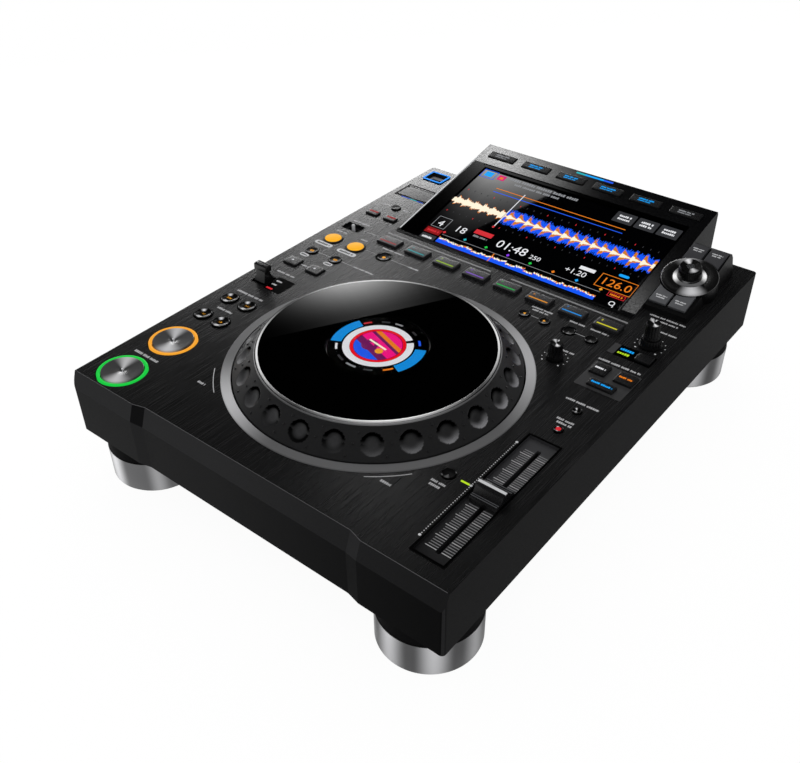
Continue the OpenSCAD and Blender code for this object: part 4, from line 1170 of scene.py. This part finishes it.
def add_jog_wheel():
    """Dimpled rim with its studs and painted dimple shade, the rings about the disc, and the glossy
    disc.
    """
    wheel = Shape()
    wheel.loft(wheel_rings(), JOG_BLACK, loop=True)
    for i in range(DIMPLES):
        mid = DIMPLE_TURN + 360 / DIMPLES * (i + 0.5)
        for turn, r in ((-2.3, 101), (0, 95.3), (2.2, 90)):
            at = polar(JOG, r, math.radians(mid + turn))
            z = SLOPE_FOOT + WHEEL_R - r
            stud = ((0.95, z - 0.9), (0.95, z), (0.65, z + 0.5), (0.1, z + 0.7))
            wheel.lathe(stud, at, JOG_BLACK, steps=8)
    paint_dimples(wheel.instead("jog_wheel_rim", "jog_wheel", sharp=25).data)

    ring = Shape()
    profile = (
        (84.1, 17.3), (85.7, 17.3), (85.7, 19.1), (85.3, 19.6), (84.6, 19.6), (84.1, 19.45)
    )
    ring.hoop(profile, JOG, JOG_CHROME, 192)
    # painted shade in the groove between the rings
    profile = ((85.7, 17.3), (86.4, 17.3), (86.4, 18.4), (85.7, 18.5))
    ring.hoop(profile, JOG, BLACK_WINDOW_AND_GAP_SHADE, 192)
    profile = ((86.4, 17.3), (87.2, 17.3), (87.2, 18.4), (86.9, 18.8), (86.4, 18.8))
    ring.hoop(profile, JOG, RIM_GREY, 192)
    ring.done("jog_rim_chrome", "jog_wheel", ["jog_chrome_ring"], sharp=50)
    # dark sheet under the gap between wheel and trim ring, as painted shade
    shade_sheet = Shape()
    profile = ((101, -3.4), (107, -3.4), (107, -3.1), (101, -3.1))
    shade_sheet.hoop(profile, JOG, BLACK_WINDOW_AND_GAP_SHADE, 128)
    shade_sheet.done("jog_gap_shade_sheet")

    disc = Shape()
    profile = ((37, 17.4), (84.05, 17.4), (84.05, 19.3), (83.9, 19.4), (37, 19.4))
    disc.hoop(profile, JOG, DISC_GLOSS, 192)
    disc.lathe(((37, 17.4), (37, 19.4)), JOG, CLEAR, steps=128)
    disc.done("jog_disc_plate", "jog_wheel", ["jog_disc"], sharp=20)


def add_feet():
    """Sleeves of the four feet, with painted reflections in bands round them."""
    profile = (
        (32, -61.3), (34.5, -61.3), (34.9, -61.5), (35, -61.8), (35, -86.5), (34.9, -86.8),
        (34.5, -87), (32, -87)
    )
    sleeves = Shape()
    for x, metal in ((-FOOT_X, FOOT_LEFT_REFLECTIONS), (FOOT_X, FOOT_RIGHT_REFLECTIONS)):
        for y in FOOT_Y:
            sleeves.hoop(profile, (x, y), metal, 96)
    sleeves.done("foot_sleeve_reflections", replaces=["foot_sleeves"])


def chord_band(shape, at, r, d0, d1, lean, z, material):
    """Part of a round disc between two parallel chords."""
    a0, a1 = [math.acos(max(-1, min(1, d / r))) for d in (d0, d1)]
    count = 10
    angles = [a0 + (a1 - a0) * k / count for k in range(count + 1)]
    angles += [-a for a in reversed(angles)]
    ring = [polar(at, r, a + math.radians(lean)) for a in angles]
    shape.prism(ring, z, z + INK, material)


def add_jog_display():
    """Round picture under the clear window: cover art, rings and lit arcs."""
    z = 17.0
    art = Shape()
    art.lathe(((36, 13.4), (36, z)), JOG, BLACK_WINDOW_AND_GAP_SHADE, steps=96)
    art.lathe(((33, 12), (33, 13.4)), JOG, BLACK_WINDOW_AND_GAP_SHADE, steps=48)
    bands = ((-17.2, -9, DEEP_BLUE), (-9, -3, PLUM), (-3, 5, HOT_PINK), (5, 7.5, PLUM),
             (7.5, 11, ORANGE_LED), (11, 17.2, HOT_PINK))
    for d0, d1, material in bands:
        chord_band(art, JOG, 17.3, d0, d1, 70, z, material)
    art.ring((JOG[0] - 5, JOG[1] - 3), 3.2, 6.2, z + 0.05, PLUM, steps=32)
    art.dot((JOG[0] + 5, JOG[1] - 5), 3, z + 0.1, AMBER, steps=32)
    art.line((JOG[0] - 9, JOG[1] + 2), (JOG[0] + 8, JOG[1] - 1), 1.6, z + 0.15, CREAM_LED)
    art.ring(JOG, 17.6, 20, z, RING_RED)
    art.arc(JOG, 20.2, 25.2, 52, 404, z, WHITE_LED)
    for middle in (0, 180):
        art.arc(JOG, 26.6, 34.4, middle - 27, middle + 27, z, ARC_BLUE)
    segments = ((138, 150, RED_LED), (112, 124, GREY_LED), (92, 104, SOFT_LED),
                (62, 72, GREY_LED), (36, 48, DEEP_BLUE), (212, 226, WHITE_LED),
                (240, 254, GREY_LED), (262, 278, SOFT_LED), (290, 302, GREY_LED),
                (316, 330, ORANGE_LED))
    for a0, a1, material in segments:
        art.arc(JOG, 28.6, 30.2, a0, a1, z, material)
    art.done("jog_display_picture", replaces=["jog_display"])


# ---------------------------------------------------------------- hood, screen and selector
def add_menu_keys():
    """Six keys along the top of the hood, with lit names of blocks."""
    keys = Shape(HOOD)
    for i, x in enumerate(MENU_X):
        box_key(keys, (x, MENU_S), 28, 9, 1, KEY_BLACK)
        light = SOFT_LED if i in (0, 5) else BLUE_LED
        keys.words(x - 7, x + 7, MENU_S + 0.9, 1.7, 1.08, light, i + 40)
        keys.words(x - 7, x + 5, MENU_S - 1.7, 1.2, 1.08, light, i + 60)
    keys.caps("menu")


def selector_key(x, s):
    """Outline of a selector key: a rectangle whose inner end follows the ring."""
    clear_r = 23.2
    half_w = 7
    half_d = 11
    front = s < DIAL[1]
    way = 1 if front else -1
    nearer = min if front else max
    far = s - way * half_d

    def outline(inset=0.0):
        x0 = x - half_w + inset
        x1 = x + half_w - inset
        count = 10
        points = [(x0, far + way * inset), (x1, far + way * inset)]
        for k in range(count + 1):
            px = x1 + (x0 - x1) * k / count
            drop = math.sqrt(max((clear_r + inset) ** 2 - (px - DIAL[0]) ** 2, 0))
            points.append((px, nearer(DIAL[1] - way * drop, s + way * (half_d - inset))))
        return points if front else list(reversed(points))
    return outline


def add_selector():
    """Four keys round the selector, its turned ring with a clear ring that glows with a painted
    reflection, and the fluted knob.
    """
    keys = Shape(HOOD)
    for x in DIAL_KEYS_X:
        # painted light and shade: the front keys get a lit copy of the grey, the rear keys a shaded
        # one
        for s, away, plastic in zip(DIAL_KEYS_S, (-4, 4), (KEY_LIT, KEY_SHADED)):
            y = s + away
            keys.cap(selector_key(x, s), -3.4, 1.5, plastic, 0.5)
            keys.words(x - 4.5, x + 4.5, y + 1, 1.3, 1.46, WHITE_INK, int(x + s))
            keys.words(x - 3.5, x + 3.5, y - 1.4, 1.3, 1.46, WHITE_INK, int(x * s))
    keys.caps("selector")

    ring = Shape(HOOD)
    profile = (
        (13.1, -2), (22.3, -2), (22.3, 1.6), (22.0, 2.3), (21.2, 2.9), (20.2, 3.1), (14.2, 3.0),
        (13.4, 2.7), (13.1, 2.2)
    )
    ring.hoop(profile, DIAL, DIAL_METAL, 128)
    # painted shade: a dark band on the ring's outer wall
    ring.hoop(((22.2, -2), (22.45, -2), (22.45, 1.3), (22.2, 1.3)), DIAL, DARK_KNOB_AND_SHADE, 128)
    profile = ((9.7, -2), (12.8, -2), (12.8, 2.6), (12.3, 3.2), (10.2, 3.3), (9.7, 2.9))
    # painted reflection: the clear ring glows with its crescents
    ring.hoop(profile, DIAL, CLEAR_RING_PAINTED_REFLECTION, 96)
    ring.done("selector_ring_turned", replaces=["selector_ring"])

    knob = Shape(HOOD)
    knob.lathe(((3.1, 1.2), (9.3, 1.2), (9.4, 3.6), (9.1, 4.2)), DIAL, GRIP_METAL, steps=144)
    profile = ((9.1, 4.2), (9, 10.6), (8.8, 11.4), (8.2, 12.1), (7.9, KNOB_TOP_Z))
    knob.lathe(profile, DIAL, DARK_KNOB_AND_SHADE, steps=144, flute=fluted(36, 4.3, 11, 0.35))
    hollow(knob, DIAL, 7.9, KNOB_TOP_Z, 0.9, KNOB_TOP)
    knob.instead("selector_knob_grip", "selector_knob", sharp=30)


def add_hood_strip_and_edge_highlights():
    """Lit strip on the top band, and painted highlights along the edges of the hood."""
    trim = Shape(HOOD)
    length = 37 / 8
    for i, light in enumerate([CYAN_LED] * 2 + [BLUE_LED] * 4 + [DEEP_BLUE] * 2):
        x = -17 + length * i
        trim.block(x, 142.1, x + length, 144.2, -0.8, 0.05, light)
    trim.done("hood_led_strip")
    edge = Shape(HOOD)
    # painted highlights along the hood's left and front edges
    edge.block(HOOD_LEFT, -1, HOOD_LEFT + 1.2, 125, -0.3, 0.12, EDGE_HIGHLIGHT)
    edge.block(HOOD_LEFT, -1.6, HOOD_RIGHT, 0.4, -0.3, 0.1, GREY_METAL_AND_EDGE_HIGHLIGHT)
    edge.done("hood_edge_highlights")


def wave(shape, x0, x1, mid, reach, seed, z, layers):
    """Mirrored waveform of thin bars; a layer has a steady share, a beat share and a light."""
    draw = random.Random(seed)
    step = 0.62
    beat = 9.2
    for k in range(int((x1 - x0) / step)):
        x = x0 + k * step
        phase = (x % beat) / beat
        swell = math.exp(-3.2 * phase) if phase < 0.85 else 0.9
        rough = draw.uniform(0.62, 1.0)
        for n, (steady, burst, light) in enumerate(layers, 1):
            half = reach * (steady + burst * swell) * rough
            shape.bar(x, mid - half, x + step * 0.96, mid + half, z, light, n)


def skyline(shape, x0, x1, foot, z):
    """Uneven overview of the whole track, blue with a pale upper edge."""
    draw = random.Random(23)
    step = 0.8
    for k in range(int((x1 - x0) / step)):
        x = x0 + k * step
        if k % 11 == 0:
            swell = draw.uniform(0.35, 1.0)
        top = foot + (2.2 + 6 * swell * draw.uniform(0.6, 1.0))
        shape.bar(x, foot, x + step, top, z, WAVE_BLUE)
        edge = CREAM_LED if draw.random() < 0.7 else ORANGE_LED
        shape.bar(x, top - 1.6, x + step, top, z, edge, 2)


def add_screen():
    """Track heads, waveforms and readouts, in three pieces."""
    z = GLASS
    top = Shape(HOOD)
    frame_bar(top, -88, 107, 15, 12, 0.5, z, DEEP_BLUE)
    top.bar(-92, 103.5, -84, 110.5, z, BLUE_LED)
    top.bar(-78, 103.5, -70.5, 110.5, z, MAGENTA)
    top.bar(-76, 105, -72.5, 108, z, ORANGE_LED, 2)
    top.words(-66, 4, 109.3, 3.2, z, SOFT_LED, 1)
    top.words(-58, -12, 103.8, 2.6, z, SOFT_LED, 2)
    for i, x in enumerate((52, 72.5, 93)):
        top.prism(rounded(x, 105.5, 18.5, 14, 1)(), z, z + INK, GREY_LED)
        top.words(x - 5.5, x + 5.5, 107.5, 2.4, z + INK, WHITE_LED, i + 3)
        top.words(x - 5.5, x + 5.5, 103.5, 2.4, z + INK, WHITE_LED, i + 9)
    top.bar(-70, 91.6, 60, 92.4, z, ORANGE_LED)
    top.bar(-70, 86.4, 60, 87.2, z, DEEP_BLUE)
    for k in range(28):
        x = -92 + 7 * k
        light = GREY_LED if k % 4 else RED_LED
        top.bar(x, 78, x + 0.6, 80, z, light)
        top.bar(x, 44.2, x + 0.6, 46, z, light)
    top.done("screen_track_head")

    waves = Shape(HOOD)
    wave(waves, -96.5, -41.4, 61.5, 8, 21, z, ((0.4, 0.6, ORANGE_LED), (0.38, 0.45, CREAM_LED)))
    wave(waves, -40.6, 103, 61.5, 12.5, 22, z,
         ((0.8, 0.2, WAVE_BLUE), (0.06, 0.8, WAVE_GOLD), (0.03, 0.3, CREAM_LED)))
    waves.bar(-41.4, 43, -40.7, 95, z, WHITE_LED, 4)
    waves.bar(-42, 43, -40.2, 45.4, z, RED_LED, 5)
    skyline(waves, -75, 80, 4, z)
    waves.bar(-75, 2.6, -20, 3.4, z, RED_LED)
    waves.bar(-75, 14.6, 80, 15, z, SOFT_LED)
    waves.bar(-20.4, 2, -19.6, 14, z, ORANGE_LED, 4)
    cues = (RED_LED, CYAN_LED, RING_GREEN, VIOLET_LED, RING_GREEN, ORANGE_LED, BLUE_LED, AMBER)
    for i, light in enumerate(cues):
        x = -75 + 22 * i
        waves.prism([(x - 1.6, 18), (x, 16.2), (x + 1.6, 18), (x, 19.8)], z, z + INK, light)
    waves.done("screen_waveforms")

    low = Shape(HOOD)
    low.pill((87.5, 40), 9, 3, z, BLUE_LED)
    frame_bar(low, -85, 28, 14, 15, 0.5, z, SOFT_LED)
    low.figures("4", (-85, 26.5), 8, z, WHITE_LED)
    low.figures("18", (-64, 27), 8, z, WHITE_LED)
    low.bar(-52, 29.4, -34, 35, z, RED_LED)
    low.words(-50, -36, 26.4, 2.2, z, SOFT_LED, 31)
    low.figures("01:48", (-11, 27), 9.5, z, WHITE_LED)
    low.figures("250", (13, 25.2), 5, z, WHITE_LED)
    low.figures("+1.20", (51, 26), 6, z, WHITE_LED)
    low.bar(51, 31.6, 65, 35.6, z, WHITE_LED)
    frame_bar(low, 87, 28, 32, 16, 0.6, z, ORANGE_LED)
    low.figures("126.0", (87, 27.6), 8.5, z, ORANGE_LED)
    low.bar(-93, 11.4, -77, 18.6, z, DEEP_RED)
    low.words(-91, -79, 15, 2.4, z + INK, RED_LED, 33)
    low.bar(-92, 1.6, -77, 9.6, z, GREY_LED)
    low.words(-90, -79, 5.6, 2.4, z + INK, WHITE_LED, 35)
    frame_bar(low, 93.5, 16.5, 15, 5, 0.5, z, RED_LED)
    low.words(88, 99, 16.5, 2, z, ORANGE_LED, 36)
    low.ring((94.5, 7.5), 1.8, 2.6, z, WHITE_LED, steps=24)
    low.bar(96.2, 3.2, 97, 5.4, z, WHITE_LED)
    low.done("screen_readouts")


# ---------------------------------------------------------------- lights and printed marks
def add_panel_lights():
    """Frame of the USB port, strip at the card door, and lit marks in the windows."""
    light = Shape()
    outer = rounded(*USB, 21.7, 18.5, 2)
    rings = []
    for inset, z in ((0, 0.6), (0, 0.95), (0.2, 1.1), (1.7, 1.1), (1.9, 0.95), (1.9, 0.6)):
        rings.append([(x, y, z) for x, y in outer(inset)])
    light.loft(rings, PORT_BLUE, loop=True)
    door_edges = (-151, -141, -133, -126)
    for x0, x1, blue in zip(door_edges, door_edges[1:], (DOOR_BLUE, CYAN_LED, DOOR_BLUE)):
        light.block(x0, DOOR_LIGHT_Y, x1, DOOR_LIGHT_Y + 0.9, -0.1, 0.2, blue)
    x = LEVER_WINDOW[0]
    light.block(x - 7, -48.3, x - 0.6, -46.4, 0.1, 0.24, RED_LED)
    light.words(x - 7, x - 1, -35.4, 1.7, 0.12, WHITE_INK, 50)
    light.words(x - 7, x - 2, -41, 1.7, 0.12, WHITE_INK, 51)
    light.block(122.3, 40.7, 127.5, 54.3, 0.1, 0.2, SYNC_GREY)
    light.words(129, 139.5, 50, 2.6, 0.12, BLUE_LED, 52)
    light.words(129, 138, 45, 2.6, 0.12, LIME_LED, 53)
    light.block(118.4, -135.7, 124.6, -134.3, -0.1, 0.25, LIME_LED)
    light.done("panel_lights")


def add_scale():
    """Tempo scale: ticks on the slider's floor and dots beside it, and painted shade round the tray's
    rim.
    """
    ticks = Shape()
    floor = -2.5
    # painted shade round the tray's rim
    frame_bar(ticks, *TRAY, 1.5, 0.42, BLACK_WINDOW_AND_GAP_SHADE)
    for k in range(53):
        y = -188 + 2 * k
        ink = DARK_INK if k % 5 else GREY_INK
        reach = 1.2 if k % 5 else 0
        ticks.bar(131 + reach, y - 0.28, 139.2, y + 0.28, floor, ink)
        ticks.bar(142.8, y - 0.28, 151 - reach, y + 0.28, floor, ink)
    for k in range(51):
        y = -186.25 + 2.05 * k
        ticks.dot((125.75, y), 1.0 if k in (0, 25, 50) else 0.4, 0, WHITE_INK, steps=10)
    ticks.done("tempo_scale")


def add_marks():
    """Printed lines and labels on the flat panel, blocks standing in for the words; painted
    highlights along the front edges and painted shade round the card door.
    """
    ink = Shape()
    z = 0.0
    for x0, x1 in ((-116, -7.5), (12.5, 117.5)):
        for y in (82.2, 83.2):
            ink.bar(x0, y - 0.2, x1, y + 0.2, z, GREY_INK)
    rules = ((-135, -119, 72), (-112, -101, 47), (-84, -66, 47), (-142, -103, 19.5),
             (54, 60.5, 47), (92.5, 101, 47))
    for x0, x1, y in rules:
        ink.bar(x0, y - 0.2, x1, y + 0.2, z, GREY_INK)
    labels = (
        (-155, -144, 59, 1.9), (-127, -120, 59, 1.9), (-103, -80, 59, 1.9),
        (-65.5, -55, 47, 1.9), (-102, -81, 19.5, 1.9), (-148, -129, -23.25, 1.9),
        (-152, -124.5, -64.5, 2.1), (-146, -130.5, -91.75, 2.1), (-151, -126, -168.75, 2.3),
        (-155, -135, 81.75, 1.9), (-155, -146, 123.75, 1.7), (-132, -124, 123.75, 1.7),
        (47.5, 66, 59, 1.9), (50, 64, 55.6, 1.9), (81, 94, 59, 1.9), (99, 114, 59, 1.9),
        (125, 154, 104.5, 1.9), (128, 150, 99.5, 1.9), (141, 155, 87, 1.9),
        (122, 155, 30, 2.1), (127, 152, -24, 2.0), (133, 147, -46.2, 2.0),
        (135, 146, -49.8, 2.0), (103, 114.5, -145, 1.9), (104, 113, -148.6, 1.9),
        (-139, -131, -4, 1.8), (90, 106, 22.5, 1.9)
    )
    for seed, (x0, x1, y, height) in enumerate(labels):
        ink.words(x0, x1, y, height, z, GREY_INK, seed + 100)
    pills = ((-148, 33.5, 18.7, 5.5), (-122.2, 33.5, 20, 5.5), (-148.5, 9.7, 9, 4.5),
             (-122, 9.7, 9, 4.5))
    for x, y, w, h in pills:
        ink.pill((x, y), w, h, z, WHITE_INK)
        ink.words(x - w * 0.36, x + w * 0.36, y, h * 0.42, z + INK, BLACK_INK, int(w * 7 + x))
    ink.arc(JOG, 116.6, 117.2, -141, -127, z, GREY_INK)
    ink.arc(JOG, 114.8, 115.4, -55, -40, z, GREY_INK)
    ink.words(-86, -79, -166, 2, z, GREY_INK, 201)
    ink.words(79, 87, -165, 2, z, GREY_INK, 202)
    for k in range(11):
        angle = math.radians(225 - 27 * k)
        for at, r in ((ADJUST, 9.4), (VINYL, 11.2)):
            ink.dot(polar(at, r, angle), 0.45 if k % 5 else 0.7, z, WHITE_INK)
    ink.dot((150, -128), 0.8, z, GREY_INK)
    # painted highlights along the front edges of the panel
    outer, inner = STEP_X
    for side in (-1, 1):
        corner = (side * outer, FRONT_EDGE)
        ink.line((side * CASE_SIDE, FRONT_EDGE), corner, 0.4, z, EDGE_HIGHLIGHT_DIM)
        ink.line(corner, (side * inner, STEP_EDGE), 0.4, z, EDGE_HIGHLIGHT_DIM)
    ink.line((-inner, STEP_EDGE), (inner, STEP_EDGE), 0.4, z, EDGE_HIGHLIGHT_DIM)
    # painted shade round the card door
    frame_bar(ink, SD[0], SD[1] + 0.5, 40.6, 25, 2.1, z, BLACK_WINDOW_AND_GAP_SHADE)
    ink.done("panel_print_and_painted_light")


# ---------------------------------------------------------------- main
add_camera()
add_world()
add_floor()
add_lights()
dress_nodes()
transport("play", PLAY, RING_GREEN, PLAY_METAL)
transport("cue", CUE, RING_AMBER, CUE_METAL)
add_search_keys()
add_left_keys()
add_hot_cues()
add_right_keys()
add_knobs()
add_slider()
add_jog_wheel()
add_jog_display()
add_feet()
add_menu_keys()
add_selector()
add_hood_strip_and_edge_highlights()
add_screen()
add_panel_lights()
add_scale()
add_marks()

scene = bpy.context.scene
scene.view_settings.view_transform = "Standard"
